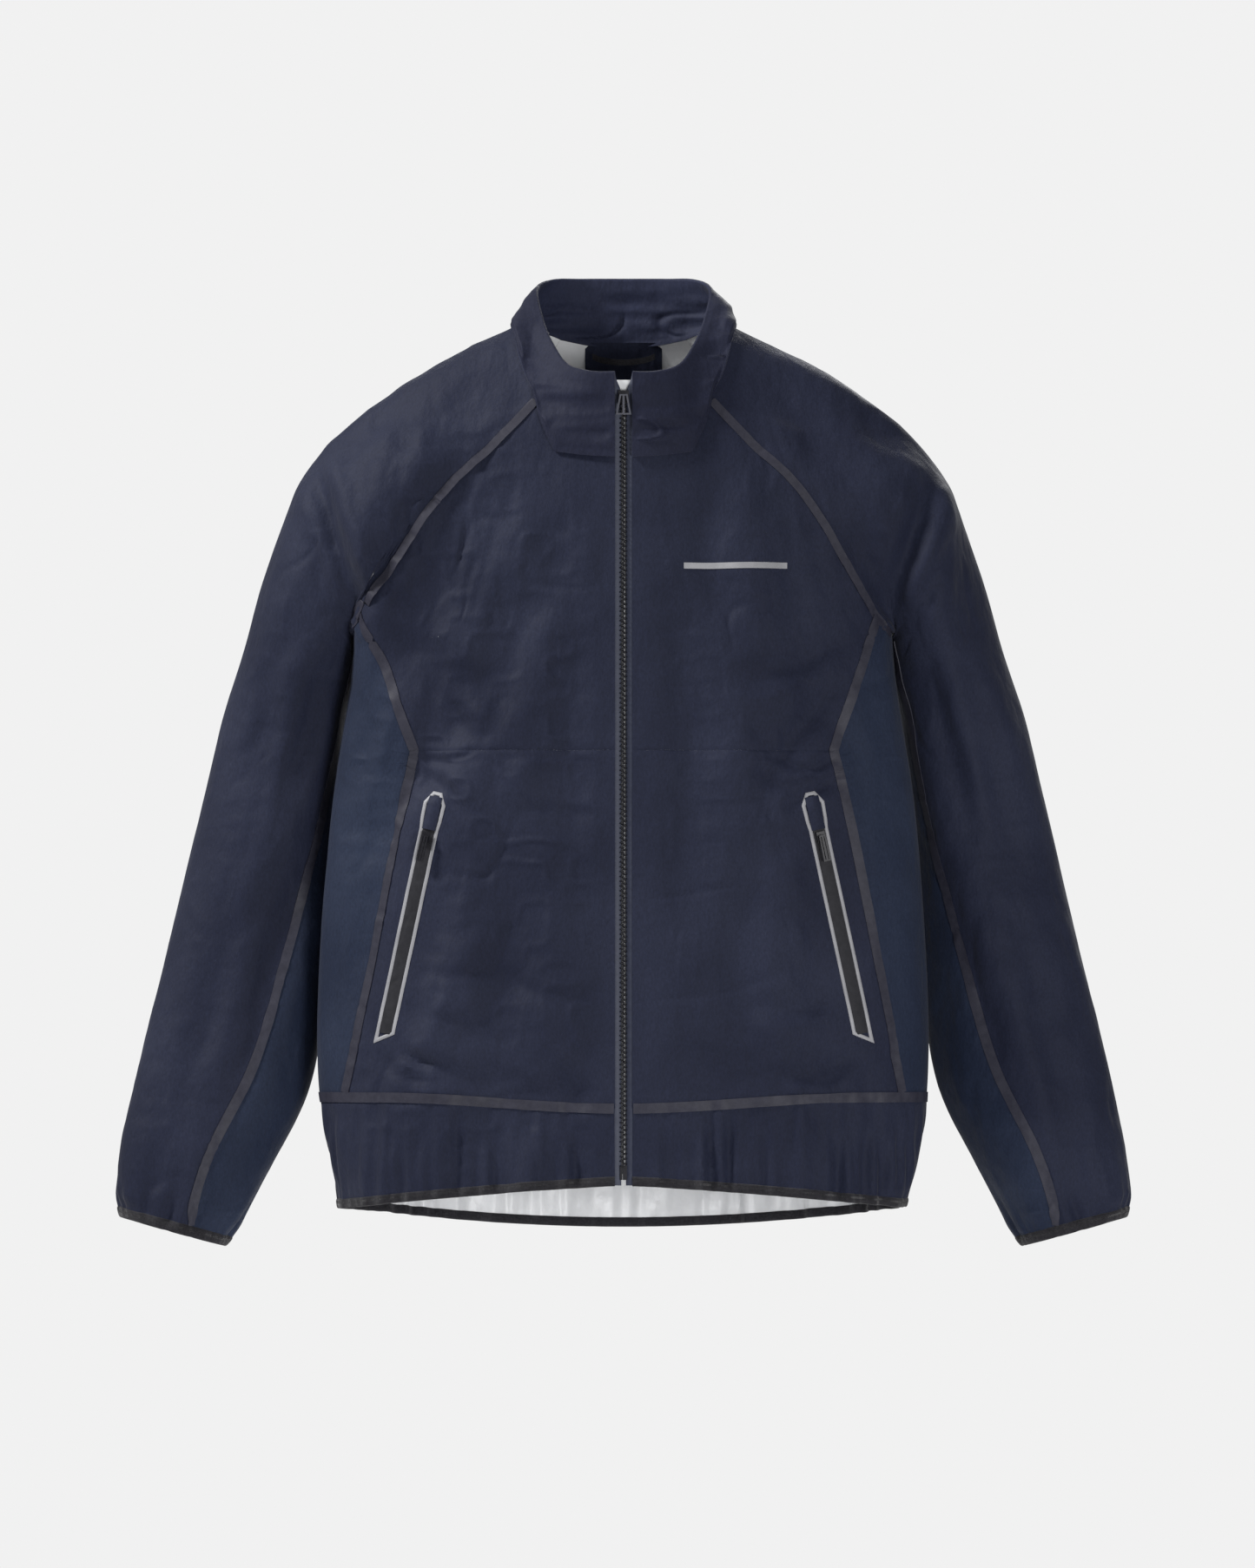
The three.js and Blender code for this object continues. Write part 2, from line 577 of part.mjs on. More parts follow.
function bondedTapes() {
  const frontTape = raglanTape(
    FRONT_NECK_TURN + RAGLAN_TAPE_NECK_GAP,
    JUNCTION_TURN - RAGLAN_TAPE_END_GAP,
  );
  bothSides("raglan_tape_front", frontTape, TAPE_GREY);
  const backTape = raglanTape(
    1 - FRONT_NECK_TURN - RAGLAN_TAPE_END_GAP,
    1 - JUNCTION_TURN + RAGLAN_TAPE_END_GAP,
  );
  bothSides("raglan_tape_back", backTape, TAPE_GREY);
  bothSides("gusset_tape", gussetTape(), TAPE_GREY);
  const side = joined(sideSeamUpper, sideSeamLower, SIDE_KINK_SHARE);
  const clearEnds = (line) => (t) => line(lerp(...SIDE_TAPE_SHARE, t));
  bothSides("side_tape", tape(onBody(frontEdge(clearEnds(side))), 26), TAPE_GREY);
  bothSides("side_tape_back", tape(onBody(backEdge(clearEnds(backSeam))), 22), TAPE_GREY);
  const start = onFront([-ZIP_HALF - 1, BAND_SEAM_ZIP])[0];
  const band = (t) => {
    const angle = lerp(start, -2 * Math.PI - start, t);
    return [angle, bandTopZ(angle)];
  };
  addMesh("hem_tape", tape(onBody(band), 44), TAPE_GREY);
  const sleeveLine = (turnAt) => (t) => {
    const along = lerp(...SLEEVE_TAPE_SHARE, t);
    return sleevePlace([turnAt(along), along], 0);
  };
  bothSides("sleeve_tape", tape(sleeveLine(frontSeamTurn), 26), TAPE_GREY);
  bothSides("sleeve_tape_back", tape(sleeveLine(backSeamTurn), 26), TAPE_GREY);
}

// ---- collar -------------------------------------------------------------------------------------
const collarRim = spline([
  [0, 6, COLLAR_BACK_TOP],
  [-34, 3, COLLAR_BACK_TOP],
  [-58, -10, COLLAR_BACK_TOP - 1],
  [-70, -34, COLLAR_BACK_TOP - 10],
  [-66, -62, 24],
  [-57, -85, 2],
  [-44, -103, -15],
  [-24, -114, COLLAR_FRONT_TOP],
  [-ZIP_HALF, zipY(COLLAR_FRONT_TOP), COLLAR_FRONT_TOP],
]);
// The neck seam from the centre back to the zip, as a point on the body.
const neckSeam = (t) => {
  const quarter = [
    [0.2, backEdge(reversed(neckBackCentre))],
    [0.36, backEdge(reversed(neckBackLine))],
    [0.61, frontEdge(neckFrontLine)],
    [0.79, frontEdge(neckFrontLower)],
    [1, frontEdge(neckFrontCentre)],
  ];
  let from = 0;
  for (const [to, line] of quarter) {
    if (t <= to) return bodyPoint(line((t - from) / (to - from)));
    from = to;
  }
  return bodyPoint(onFront([-ZIP_HALF, NECK_CENTRE_Z]));
};
const COLLAR_BULGE = 5;
const COLLAR_PLY_GAP = 1;
const COLLAR_FOOT_GAP = 2;
const COLLAR_INNER_FOOT_GAP = 3;
const COLLAR_SHOULDER_GAP = 4;
function collarPoint([around, rise]) {
  const t = Math.abs(around);
  const [x, y, z] = collarRim(t);
  const p = neckSeam(t).lerp(new THREE.Vector3(x, y, z), rise);
  const outward = new THREE.Vector3(p.x, p.y + 60, 0).normalize();
  p.addScaledVector(outward, COLLAR_BULGE * 4 * rise * (1 - rise) * (1 - t ** 6));
  if (around > 0) p.x = -p.x;
  return p;
}
// The collar's foot stands clear of the neck seam, most of all over the shoulders, where it lies flattest.
function collarFoot(t, gap) {
  const height = collarPoint([t, 1]).distanceTo(collarPoint([t, 0]));
  return (gap + COLLAR_SHOULDER_GAP * Math.exp(-(((t - 0.36) / 0.12) ** 2))) / height;
}
const collarPlace = (sink, gap) => (u, v) => {
  const around = lerp(-1, 1, u);
  const at = [around, lerp(collarFoot(Math.abs(around), gap), 1, v)];
  const inside = [at[0] * 0.985, Math.min(at[1], 0.97)];
  const n = normalOf(collarPoint, inside, 0.012, 0.02);
  return { p: collarPoint(at).addScaledVector(n, -sink), n };
};
function collarPieces() {
  addMesh("collar_outer", sheet(collarPlace(CLOTH, COLLAR_FOOT_GAP), 40, 4), NAVY);
  const innerSink = 2 * CLOTH + COLLAR_PLY_GAP;
  addMesh("collar_inner", sheet(collarPlace(innerSink, COLLAR_INNER_FOOT_GAP), 40, 4), NAVY);
}

// ---- manifold-3d helpers ------------------------------------------------------------------------
function solidFrom(geometry) {
  const merged = withoutExtras(geometry);
  return new wasm.Manifold(
    new wasm.Mesh({
      numProp: 3,
      vertProperties: merged.getAttribute("position").array,
      triVerts: new Uint32Array(merged.index.array),
    }),
  );
}
function geometryOf(solid) {
  const { vertProperties, triVerts } = solid.getMesh();
  return geometryFrom([...vertProperties], [...triVerts]);
}
function block(width, depth, height, x, y, z) {
  return new THREE.BoxGeometry(width, depth, height).translate(x, y, z);
}
// An outline of [x, z] points with a thickness along Y, its front face at y = 0.
function plate(outline, thickness) {
  const shape = new THREE.Shape(outline.map(([x, z]) => new THREE.Vector2(x, z)));
  const made = new THREE.ExtrudeGeometry(shape, { depth: thickness, bevelEnabled: false });
  return made.rotateX(Math.PI / 2).translate(0, thickness, 0);
}

// ---- front zip: everything here is made upright at x = 0 and then leaned with the front edge ----
const ZIP_ANGLE = Math.atan(ZIP_LEAN);
const ZIP_LENGTH = (ZIP_TOP_Z - ZIP_BOTTOM_Z) / Math.cos(ZIP_ANGLE);
const leanWithZip = (geometry) =>
  geometry.applyMatrix4(
    new THREE.Matrix4()
      .makeTranslation(0, ZIP_TOP_Y, ZIP_TOP_Z)
      .multiply(new THREE.Matrix4().makeRotationX(-ZIP_ANGLE)),
  );
const TAPE_PLANE = 1.6; // the zip tapes lie this far behind the front edge
const SLIDER_TOP = 14; // distance down from the zip's top to the slider at rest
const SLIDER_HEIGHT = 11;
const SLIDER_WIDTH = 8.6;
const SLIDER_PLATE = 1.2;
const SLIDER_SLOT = 3.2; // between its front and back plates
const PIN_HEIGHT = 12;

// A row of teeth on its cord, from just below the slider's rest place to the box.
function chainOutline() {
  const top = -SLIDER_TOP - 1;
  const bottom = -ZIP_LENGTH + PIN_HEIGHT + 1;
  const count = Math.floor((top - bottom) / TOOTH_PITCH);
  const outline = [
    [-CHAIN_HALF, bottom],
    [-CHAIN_HALF, top],
    [-CHAIN_GAP, top],
  ];
  const root = -CHAIN_HALF + 1;
  for (let i = 0; i < count; i++) {
    const at = top - i * TOOTH_PITCH;
    outline.push([-CHAIN_GAP, at - TOOTH_PITCH / 2], [root, at - TOOTH_PITCH / 2]);
    outline.push([root, at - TOOTH_PITCH], [-CHAIN_GAP, at - TOOTH_PITCH]);
  }
  outline.push([-CHAIN_GAP, bottom]);
  return outline.filter(([x, z], i, all) => {
    const next = all[(i + 1) % all.length];
    return Math.hypot(next[0] - x, next[1] - z) > 0.01;
  });
}

function frontZip() {
  const tapeWidth = ZIP_HALF - SEAM_GAP - CHAIN_HALF - 0.3;
  const tapeX = -(CHAIN_HALF + 0.3 + tapeWidth / 2);
  bothSides(
    "front_zip_tape",
    leanWithZip(block(tapeWidth, 0.8, ZIP_LENGTH, tapeX, TAPE_PLANE, -ZIP_LENGTH / 2)),
    BLACK,
  );
  const chain = plate(chainOutline(), CHAIN_THICK).translate(0, TAPE_PLANE - CHAIN_THICK / 2, 0);
  bothSides("front_zip_chain", leanWithZip(chain), BLACK);
  const boxWidth = 2 * CHAIN_HALF;
  const boxZ = -ZIP_LENGTH + PIN_HEIGHT / 2;
  const retainer = block(boxWidth - 2, CHAIN_THICK + 0.6, PIN_HEIGHT, 1, TAPE_PLANE, boxZ);
  addMesh("zip_retainer_box", leanWithZip(retainer), BLACK);
  const pin = block(1.8, CHAIN_THICK, PIN_HEIGHT, -1.9, TAPE_PLANE, boxZ);
  addMesh("zip_insertion_pin", leanWithZip(pin), BLACK);
  const flap = block(30, 1, ZIP_LENGTH - 10, 2, TAPE_PLANE + CHAIN_THICK + 3, -ZIP_LENGTH / 2);
  addMesh("storm_flap", leanWithZip(flap), LINING);
}

function frontSlider() {
  const middle = -SLIDER_TOP - SLIDER_HEIGHT / 2;
  const half = (SLIDER_SLOT + SLIDER_PLATE) / 2;
  const front = block(SLIDER_WIDTH, SLIDER_PLATE, SLIDER_HEIGHT, 0, TAPE_PLANE - half, middle);
  const back = block(SLIDER_WIDTH, SLIDER_PLATE, SLIDER_HEIGHT, 0, TAPE_PLANE + half, middle);
  const web = block(CHAIN_GAP, SLIDER_SLOT + 0.4, SLIDER_HEIGHT, 0, TAPE_PLANE, middle);
  const lug = block(2.2, 2.4, 4.4, 0, TAPE_PLANE - half - 1.4, middle);
  const body = solidFrom(front).add(solidFrom(back)).add(solidFrom(web)).add(solidFrom(lug));
  addMesh("front_slider", leanWithZip(geometryOf(body)), BLACK);
}
// The pull hangs plumb from the slider's lug: a frame that widens downwards, with a bar down its middle.
const PULL_HINGE = [0, zipY(ZIP_TOP_Z - SLIDER_TOP - SLIDER_HEIGHT / 2) - 5.2, ZIP_TOP_Z - SLIDER_TOP - 3];
function pullGeometry(topWidth, bottomWidth, length, rim) {
  const outline = [
    [-bottomWidth / 2, -length],
    [bottomWidth / 2, -length],
    [topWidth / 2, 0],
    [-topWidth / 2, 0],
  ];
  const low = -length + rim;
  const innerTop = topWidth / 2 - rim;
  const innerLow = bottomWidth / 2 - rim * 1.1;
  const bar = 0.9;
  const window = (side) => [
    [side * bar, -rim],
    [side * Math.max(innerTop, bar + 0.4), -rim],
    [side * innerLow, low],
    [side * bar, low],
  ];
  const cutter = (side) => solidFrom(plate(window(side), PULL_THICK + 2).translate(0, -1, 0));
  const body = solidFrom(plate(outline, PULL_THICK)).subtract(cutter(1)).subtract(cutter(-1));
  return geometryOf(body);
}
function frontPull() {
  const geometry = pullGeometry(6.6, 12.6, PULL_LENGTH, 1.3);
  addMesh("front_pull", geometry.translate(...PULL_HINGE), BLACK);
}

// ---- pockets: made flat in [across, down] round the opening, then laid on the body --------------
const along = [POCKET_END[0] - POCKET_TOP[0], POCKET_END[1] - POCKET_TOP[1]];
const POCKET_LENGTH = Math.hypot(...along);
const pocketDown = along.map((v) => v / POCKET_LENGTH);
const pocketAcross = [-pocketDown[1], pocketDown[0]];
const POCKET_HALF = POCKET_ZIP_WIDTH / 2 + POCKET_FRAME_WIDTH;
const POCKET_OUTLINE = [
  [-4, -28],
  [4, -28],
  [POCKET_HALF + 1.5, -18],
  [POCKET_HALF + 1, -4],
  [POCKET_HALF, 4],
  [POCKET_HALF, POCKET_LENGTH - 2],
  [-POCKET_HALF, POCKET_LENGTH + 9],
  [-POCKET_HALF, 4],
  [-POCKET_HALF - 1, -4],
  [-POCKET_HALF - 1.5, -18],
];
const pocketAt = ([across, down]) => {
  const x = POCKET_TOP[0] + pocketDown[0] * down + pocketAcross[0] * across;
  const z = POCKET_TOP[1] + pocketDown[1] * down + pocketAcross[1] * across;
  const at = onFront([x, z]);
  return { p: bodyPoint(at), n: bodyNormal(at) };
};
// The same closed outline moved inwards by a distance, corner by corner.
function insetOutline(points, distance) {
  return points.map(([x, z], i) => {
    const before = points[(i + points.length - 1) % points.length];
    const after = points[(i + 1) % points.length];
    const edge = (from, to) => {
      const length = Math.hypot(to[0] - from[0], to[1] - from[1]);
      return [-(to[1] - from[1]) / length, (to[0] - from[0]) / length];
    };
    const [n1, n2] = [edge(before, [x, z]), edge([x, z], after)];
    const scale = distance / (1 + n1[0] * n2[0] + n1[1] * n2[1]);
    return [x + (n1[0] + n2[0]) * scale, z + (n1[1] + n2[1]) * scale];
  });
}
const FRAME_LIFT = 0.9;
const ZIP_STRIP_LIFT = 0.8;
const POCKET_SLIDER_LIFT = 3.2; // the slider runs straight, so it clears the bulge of the cloth

function pocketPieces() {
  const inner = insetOutline(POCKET_OUTLINE, POCKET_FRAME_WIDTH);
  const count = POCKET_OUTLINE.length;
  const pairs = Array.from({ length: count }, (_, i) => [...POCKET_OUTLINE[i], ...inner[i]]);
  const ring = pairs.flatMap((pair, i) => {
    const next = pairs[(i + 1) % count];
    const pieces = Math.ceil(Math.hypot(next[0] - pair[0], next[1] - pair[1]) / 24);
    return Array.from({ length: pieces }, (_, k) => mix(pair, next, k / pieces));
  });
  const frame = (u, v) => {
    const pair = ring[Math.round(u * ring.length) % ring.length];
    return pocketAt(mix(pair.slice(0, 2), pair.slice(2), v));
  };
  const frameShape = sheet(frame, ring.length, 1, { lift: FRAME_LIFT, thick: 0.6, closedLoop: true });
  bothSides("pocket_frame", frameShape, REFLECTIVE);
  const strip = (top, bottom, halfWidth) => (u, v) =>
    pocketAt([lerp(-halfWidth, halfWidth, u), lerp(bottom, top, v)]);
  const zipHalf = POCKET_ZIP_WIDTH / 2 - 0.4;
  bothSides(
    "pocket_zip",
    sheet(strip(2, POCKET_LENGTH - 6, zipHalf), 2, 9, { lift: ZIP_STRIP_LIFT, thick: 0.8 }),
    BLACK,
  );
  bothSides(
    "pocket_garage",
    sheet(strip(-17, 1, zipHalf + 0.2), 2, 2, { lift: ZIP_STRIP_LIFT, thick: 0.8 }),
    NAVY,
  );
  // The bag hangs inside the front, welded round the opening, and points towards the zip.
  const bag = (u, v) => {
    const z = lerp(POCKET_TOP[1] + 20, POCKET_END[1] - 32, v);
    const x = lerp(-POCKET_BAG_DEPTH + lerp(-10, -52, v), -24, u);
    const at = onFront([x, z]);
    return { p: bodyPoint(at), n: bodyNormal(at) };
  };
  bothSides("pocket_bag", sheet(bag, 6, 8, { lift: -6.6, thick: 2.4 }), LINING);
}

// A pocket's slider and pull are small solids made upright, then turned into the pocket's own frame.
function pocketFrameMatrix() {
  const top = pocketAt([0, 6]);
  const low = pocketAt([0, POCKET_LENGTH - 8]);
  const down = low.p.clone().sub(top.p).normalize();
  const out = top.n.clone().addScaledVector(down, -top.n.dot(down)).normalize();
  const across = out.clone().cross(down);
  const basis = new THREE.Matrix4().makeBasis(across, out.negate(), down.negate());
  return new THREE.Matrix4().makeTranslation(top.p.x, top.p.y, top.p.z).multiply(basis);
}
const POCKET_PULL_DROP = 3;
function pocketSliders() {
  const placed = (geometry) => geometry.applyMatrix4(pocketFrameMatrix());
  const base = solidFrom(block(7, 1.6, 9, 0, -POCKET_SLIDER_LIFT - 0.8, -4.5));
  const lug = solidFrom(block(2, 2.4, 4, 0, -POCKET_SLIDER_LIFT - 1.9, -4.5));
  bothSides("pocket_slider", placed(geometryOf(base.add(lug))), BLACK);
  const pull = pullGeometry(5.4, 6, 22, 1.2);
  const hinge = [0, -POCKET_SLIDER_LIFT - 5.2, -POCKET_PULL_DROP];
  bothSides("pocket_pull", placed(pull.translate(...hinge)), BLACK);
}

// ---- small pieces -------------------------------------------------------------------------------
const NECK_PATCH_WIDTH = 72;
const NECK_PATCH_TOP = -3;
const NECK_PATCH_HEIGHT = 30;
const NECK_PATCH_SINK = 6.8;
const LOOP_STAND_OFF = 3.4; // gap from the patch to the loop's ends
function neckPieces() {
  const top = backY(0, NECK_PATCH_TOP) - NECK_PATCH_SINK;
  const low = backY(0, NECK_PATCH_TOP - NECK_PATCH_HEIGHT) - NECK_PATCH_SINK;
  const tilt = Math.atan2(low - top, NECK_PATCH_HEIGHT);
  const length = Math.hypot(low - top, NECK_PATCH_HEIGHT);
  const patch = block(NECK_PATCH_WIDTH, 1, length, 0, -0.5, -length / 2).rotateX(tilt);
  addMesh("neck_patch", patch.translate(0, top, NECK_PATCH_TOP), NAVY);
  const loopPath = spline([
    [-26, top - LOOP_STAND_OFF, -4],
    [-18, top - 5, -7],
    [0, top - 8, -9],
    [18, top - 5, -7],
    [26, top - LOOP_STAND_OFF, -4],
  ]);
  const loop = (u, v) => {
    const [x, y, z] = loopPath(u);
    return { p: new THREE.Vector3(x, y, z - v * 5), n: new THREE.Vector3(0, -1, 0) };
  };
  addMesh("hanger_loop", sheet(loop, 14, 1, { thick: 1 }), NAVY);
}
const CHEST_BAR = { x: 93, z: -181, width: 86, height: 5 };
function chestBar() {
  const place = (u, v) => {
    const { x, z, width, height } = CHEST_BAR;
    const at = onFront([x + (u - 0.5) * width, z + (v - 0.5) * height]);
    return { p: bodyPoint(at), n: bodyNormal(at) };
  };
  addMesh("chest_bar", sheet(place, 8, 1, { lift: TAPE_LIFT, thick: 0.4 }), REFLECTIVE);
}

bodyPanels();
hemPieces();
sleevePieces();
bondedTapes();
collarPieces();
frontZip();
frontSlider();
frontPull();
pocketPieces();
pocketSliders();
neckPieces();
chestBar();

export default jacket;
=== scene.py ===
# %% [markdown]
# # Foul weather jacket
# A bonded-seam shell jacket stands open as if worn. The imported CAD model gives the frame: which body each
# piece rides on, where the zip runs and where the shoulders turn. This script dresses that frame in cloth.
# It repeats the CAD's own surface formulas at a much finer pitch, adds folds, and gives every piece a finish.
# All lengths in the formulas are millimetres. They become metres when a mesh is made.

# %% Load the frame
import math

import bpy
import numpy as np
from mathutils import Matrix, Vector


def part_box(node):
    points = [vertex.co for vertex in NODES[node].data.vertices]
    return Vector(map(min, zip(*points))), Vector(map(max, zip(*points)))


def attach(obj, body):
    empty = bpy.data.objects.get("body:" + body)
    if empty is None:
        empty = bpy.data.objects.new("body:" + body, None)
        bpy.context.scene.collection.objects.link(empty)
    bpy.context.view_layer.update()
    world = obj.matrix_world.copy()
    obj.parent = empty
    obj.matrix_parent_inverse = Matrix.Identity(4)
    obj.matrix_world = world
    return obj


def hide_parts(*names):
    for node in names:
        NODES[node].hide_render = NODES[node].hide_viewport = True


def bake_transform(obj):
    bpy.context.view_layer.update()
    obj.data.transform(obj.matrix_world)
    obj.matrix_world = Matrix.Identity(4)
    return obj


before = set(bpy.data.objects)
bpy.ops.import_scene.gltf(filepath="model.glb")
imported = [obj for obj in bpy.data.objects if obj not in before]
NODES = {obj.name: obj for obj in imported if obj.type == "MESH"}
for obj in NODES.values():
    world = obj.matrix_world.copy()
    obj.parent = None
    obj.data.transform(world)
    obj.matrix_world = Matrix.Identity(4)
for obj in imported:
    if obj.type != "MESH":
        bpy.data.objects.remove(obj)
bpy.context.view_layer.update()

MM = 0.001

# %% [markdown]
# ## Camera and light
# The jacket is seen straight on from the front, from far away with a long lens, so that its two sides read
# alike and its edges don't spread. The floor is a pale disc well below the hem, and the light is a pale sky
# with three soft lamps: a key high at one side, which grazes the folds, one by the camera and one behind.

# %% Camera, floor and lights
scene = bpy.context.scene
FRAME_HEIGHT = 1.30032
FRAME_CENTRE = (0.00324, -0.36216)
FLOOR_RADIUS, FLOOR_Z, FLOOR_CORNERS = 1.25, -1.12, 96
DISTANCE = 30.0
AMBIENT = 0.36  # the pale sky lights the jacket less than it shows, as a backdrop lit on its own does

camera = bpy.data.objects.new("camera", bpy.data.cameras.new("camera"))
scene.collection.objects.link(camera)
camera.data.sensor_fit = "VERTICAL"
camera.data.sensor_height = 24
camera.data.lens = 24 * DISTANCE / FRAME_HEIGHT
camera.location = (FRAME_CENTRE[0], -0.1 - DISTANCE, FRAME_CENTRE[1])
camera.rotation_euler = (math.pi / 2, 0, 0)
camera.data.clip_end = 100
scene.camera = camera
scene.view_settings.view_transform = "Standard"


def lamp(name, place, target, size, power):
    """A square soft lamp at a place, turned towards a target."""
    data = bpy.data.lights.new(name, "AREA")
    data.size, data.energy = size, power
    obj = bpy.data.objects.new(name, data)
    scene.collection.objects.link(obj)
    obj.location = place
    away = np.array(place) - np.array(target)
    obj.rotation_euler = (
        math.atan2(math.hypot(away[0], away[1]), away[2]),
        0,
        math.atan2(away[0], -away[1]),
    )
    return obj


lamp("key", (-2.2, -0.75, 1.9), (0, 0, -0.35), 0.6, 128)
lamp("front", (1.5, -3.0, -0.6), (0, 0, -0.45), 1.0, 58)
lamp("rear", (0.6, 2.4, 1.4), (0, 0, -0.35), 1.6, 84)

world = bpy.data.worlds.new("studio")
world.use_nodes = True
sky = world.node_tree.nodes["Background"]
sky.inputs[0].default_value = (0.88, 0.88, 0.88, 1)
seen = world.node_tree.nodes.new("ShaderNodeLightPath").outputs["Is Camera Ray"]
dimmer = world.node_tree.nodes.new("ShaderNodeMapRange")
dimmer.inputs["To Min"].default_value = AMBIENT
world.node_tree.links.new(seen, dimmer.inputs["Value"])
world.node_tree.links.new(dimmer.outputs["Result"], sky.inputs[1])
scene.world = world

floor_mesh = bpy.data.meshes.new("floor")
ring = np.linspace(0, 2 * math.pi, FLOOR_CORNERS + 1)[:-1]
corners = [(FLOOR_RADIUS * math.cos(a), FLOOR_RADIUS * math.sin(a), FLOOR_Z) for a in ring]
floor_mesh.from_pydata(corners, [], [list(range(FLOOR_CORNERS))])
floor = bpy.data.objects.new("floor", floor_mesh)
scene.collection.objects.link(floor)
print("camera", tuple(round(v, 3) for v in camera.location), "lens", round(camera.data.lens, 1))

# %% [markdown]
# ## Small mathematics
# The same few curves shape the whole jacket: a smooth curve through points, a value that follows rows, an
# arch, and a step with soft ends. They work on whole arrays at once, so a fine surface costs little time.

# %% Curves on arrays
def lerp(a, b, t):
    """The point a share t of the way from a to b."""
    return a + (b - a) * t


def smooth(t):
    """A step from 0 to 1 with soft ends."""
    t = np.clip(t, 0, 1)
    return t * t * (3 - 2 * t)


def arch(t, power):
    """One at the middle, zero at minus one and one: the profile of a superellipse."""
    return np.maximum(0, 1 - np.abs(t) ** power) ** (1 / power)


def fine_curve(points, steps=40):
    """Points every 1/steps of a span along the centripetal Catmull-Rom curve through the points."""
    p = np.array(points, float)
    e = np.vstack([2 * p[0] - p[1], p, 2 * p[-1] - p[-2]])
    u = np.linspace(0, 1, steps + 1)[:-1, None]
    spans = []
    for i in range(len(p) - 1):
        p0, p1, p2, p3 = e[i : i + 4]
        d0, d1, d2 = [max(np.linalg.norm(b - a) ** 0.5, 1e-4) for a, b in ((p0, p1), (p1, p2), (p2, p3))]
        m1 = ((p1 - p0) / d0 - (p2 - p0) / (d0 + d1) + (p2 - p1) / d1) * d1
        m2 = ((p2 - p1) / d1 - (p3 - p1) / (d1 + d2) + (p3 - p2) / d2) * d1
        c2 = -3 * p1 + 3 * p2 - 2 * m1 - m2
        c3 = 2 * p1 - 2 * p2 + m1 + m2
        spans.append(p1 + m1 * u + c2 * u**2 + c3 * u**3)
    return np.vstack(spans + [p[-1:]])


def spline(points):
    """A function of 0..1 that gives points on the curve, with an equal share of 0..1 for each span."""
    fine = fine_curve(points)
    share = np.linspace(0, 1, len(fine))

    def at(t):
        t = np.clip(t, 0, 1)
        return np.stack([np.interp(t, share, fine[:, k]) for k in range(fine.shape[1])], -1)

    return at


def profile(rows):
    """A function that gives the value at a position, from rows of position and value."""
    fine = fine_curve(rows)
    order = np.argsort(fine[:, 0])
    return lambda at: np.interp(at, fine[order, 0], fine[order, 1])


def unit(v):
    """Vectors shortened or stretched to length one."""
    return v / np.maximum(np.linalg.norm(v, axis=-1, keepdims=True), 1e-9)


def shelf(u, v):
    """Two numbers that may differ in shape, as one array of pairs."""
    return np.stack(np.broadcast_arrays(u, v), -1).astype(float)


class Lattice:
    """Seeded random values on a lattice, joined softly: noise that is the same at each run."""

    def __init__(self, seed):
        self.values = np.random.default_rng(seed).uniform(-1, 1, (32, 32, 32))

    def __call__(self, p, pitch):
        """The noise at points, with this many millimetres from one lattice value to the next."""
        q = p / np.array(pitch, float) + 100.3
        i = np.floor(q).astype(int)
        f = q - i
        f = f * f * f * (f * (f * 6 - 15) + 10)
        out = 0
        for corner in np.ndindex(2, 2, 2):
            c = (i + corner) % 32
            share = np.prod(np.where(np.array(corner) == 1, f, 1 - f), axis=-1)
            out = out + share * self.values[c[..., 0], c[..., 1], c[..., 2]]
        return out


# %% [markdown]
# ## The shape of the body
# Seen from above, the body is a rounded front and a rounder back that meet at the side lines. Its half width
# follows the height. The front edge falls in a straight line, so that the zip can run, and over the shoulders
# both halves lean together until they meet along the shoulder.

# %% Body surface
CHEST_Z, HEM_Z = -240.0, -714.0
HEM_HALF = 232.0
SIDE_Y, SIDE_SET_FORWARD, BACK_DEPTH = -45.0, 7.0, 90.0
FRONT_HEM_RISE, BACK_HEM_DROP = 19.0, 17.0
ZIP_TOP_Y, ZIP_TOP_Z, ZIP_LEAN, ZIP_BOTTOM_Z = -118.0, -22.0, 0.0478, -690.0
ZIP_HALF = 7.0
WAIST_Z, BAND_SEAM_SIDE, BAND_SEAM_ZIP = -334.0, -622.0, -631.0
BINDING_HEIGHT = 8.0

half_width = profile([(60, 223), (-240, 223), (-390, 243.15), (-580, 254), (-666, 246.52), (-739, 230)])
ARMHOLE_Z = -230.0  # above this height the shoulder draws the front and the back together
shoulder_front = profile([(0, 60), (85, 24), (110, 2), (200, -40), (250, -84)])
shoulder_back = profile([(0, 51), (85, 24), (110, 2), (200, -40), (250, -84)])


def zip_y(z):
    """The depth of the front edge at a height: a straight line that leans forward on its way down."""
    return ZIP_TOP_Y + (z - ZIP_TOP_Z) * ZIP_LEAN


def side_y(z):
    """The depth of the side line, which comes forward a little from the chest to the hem."""
    return SIDE_Y - SIDE_SET_FORWARD * smooth((CHEST_Z - z) / (CHEST_Z - HEM_Z))


def shoulder_share(x, z, top):
    """The share of its depth that the body keeps: all at the armhole, none at the shoulder line."""
    return arch(np.clip((z - ARMHOLE_Z) / (top(np.abs(x)) - ARMHOLE_Z), 0, 1), 2.2)


def front_y(x, z):
    """The front's depth: a flat arch from the side line out to the zip line, drawn back at the shoulder."""
    hold = 1 - (1 - shoulder_share(x, z, shoulder_front)) * smooth(np.abs(x) / 80)
    return side_y(z) - (side_y(z) - zip_y(z)) * arch(x / half_width(z), 2.5) * hold


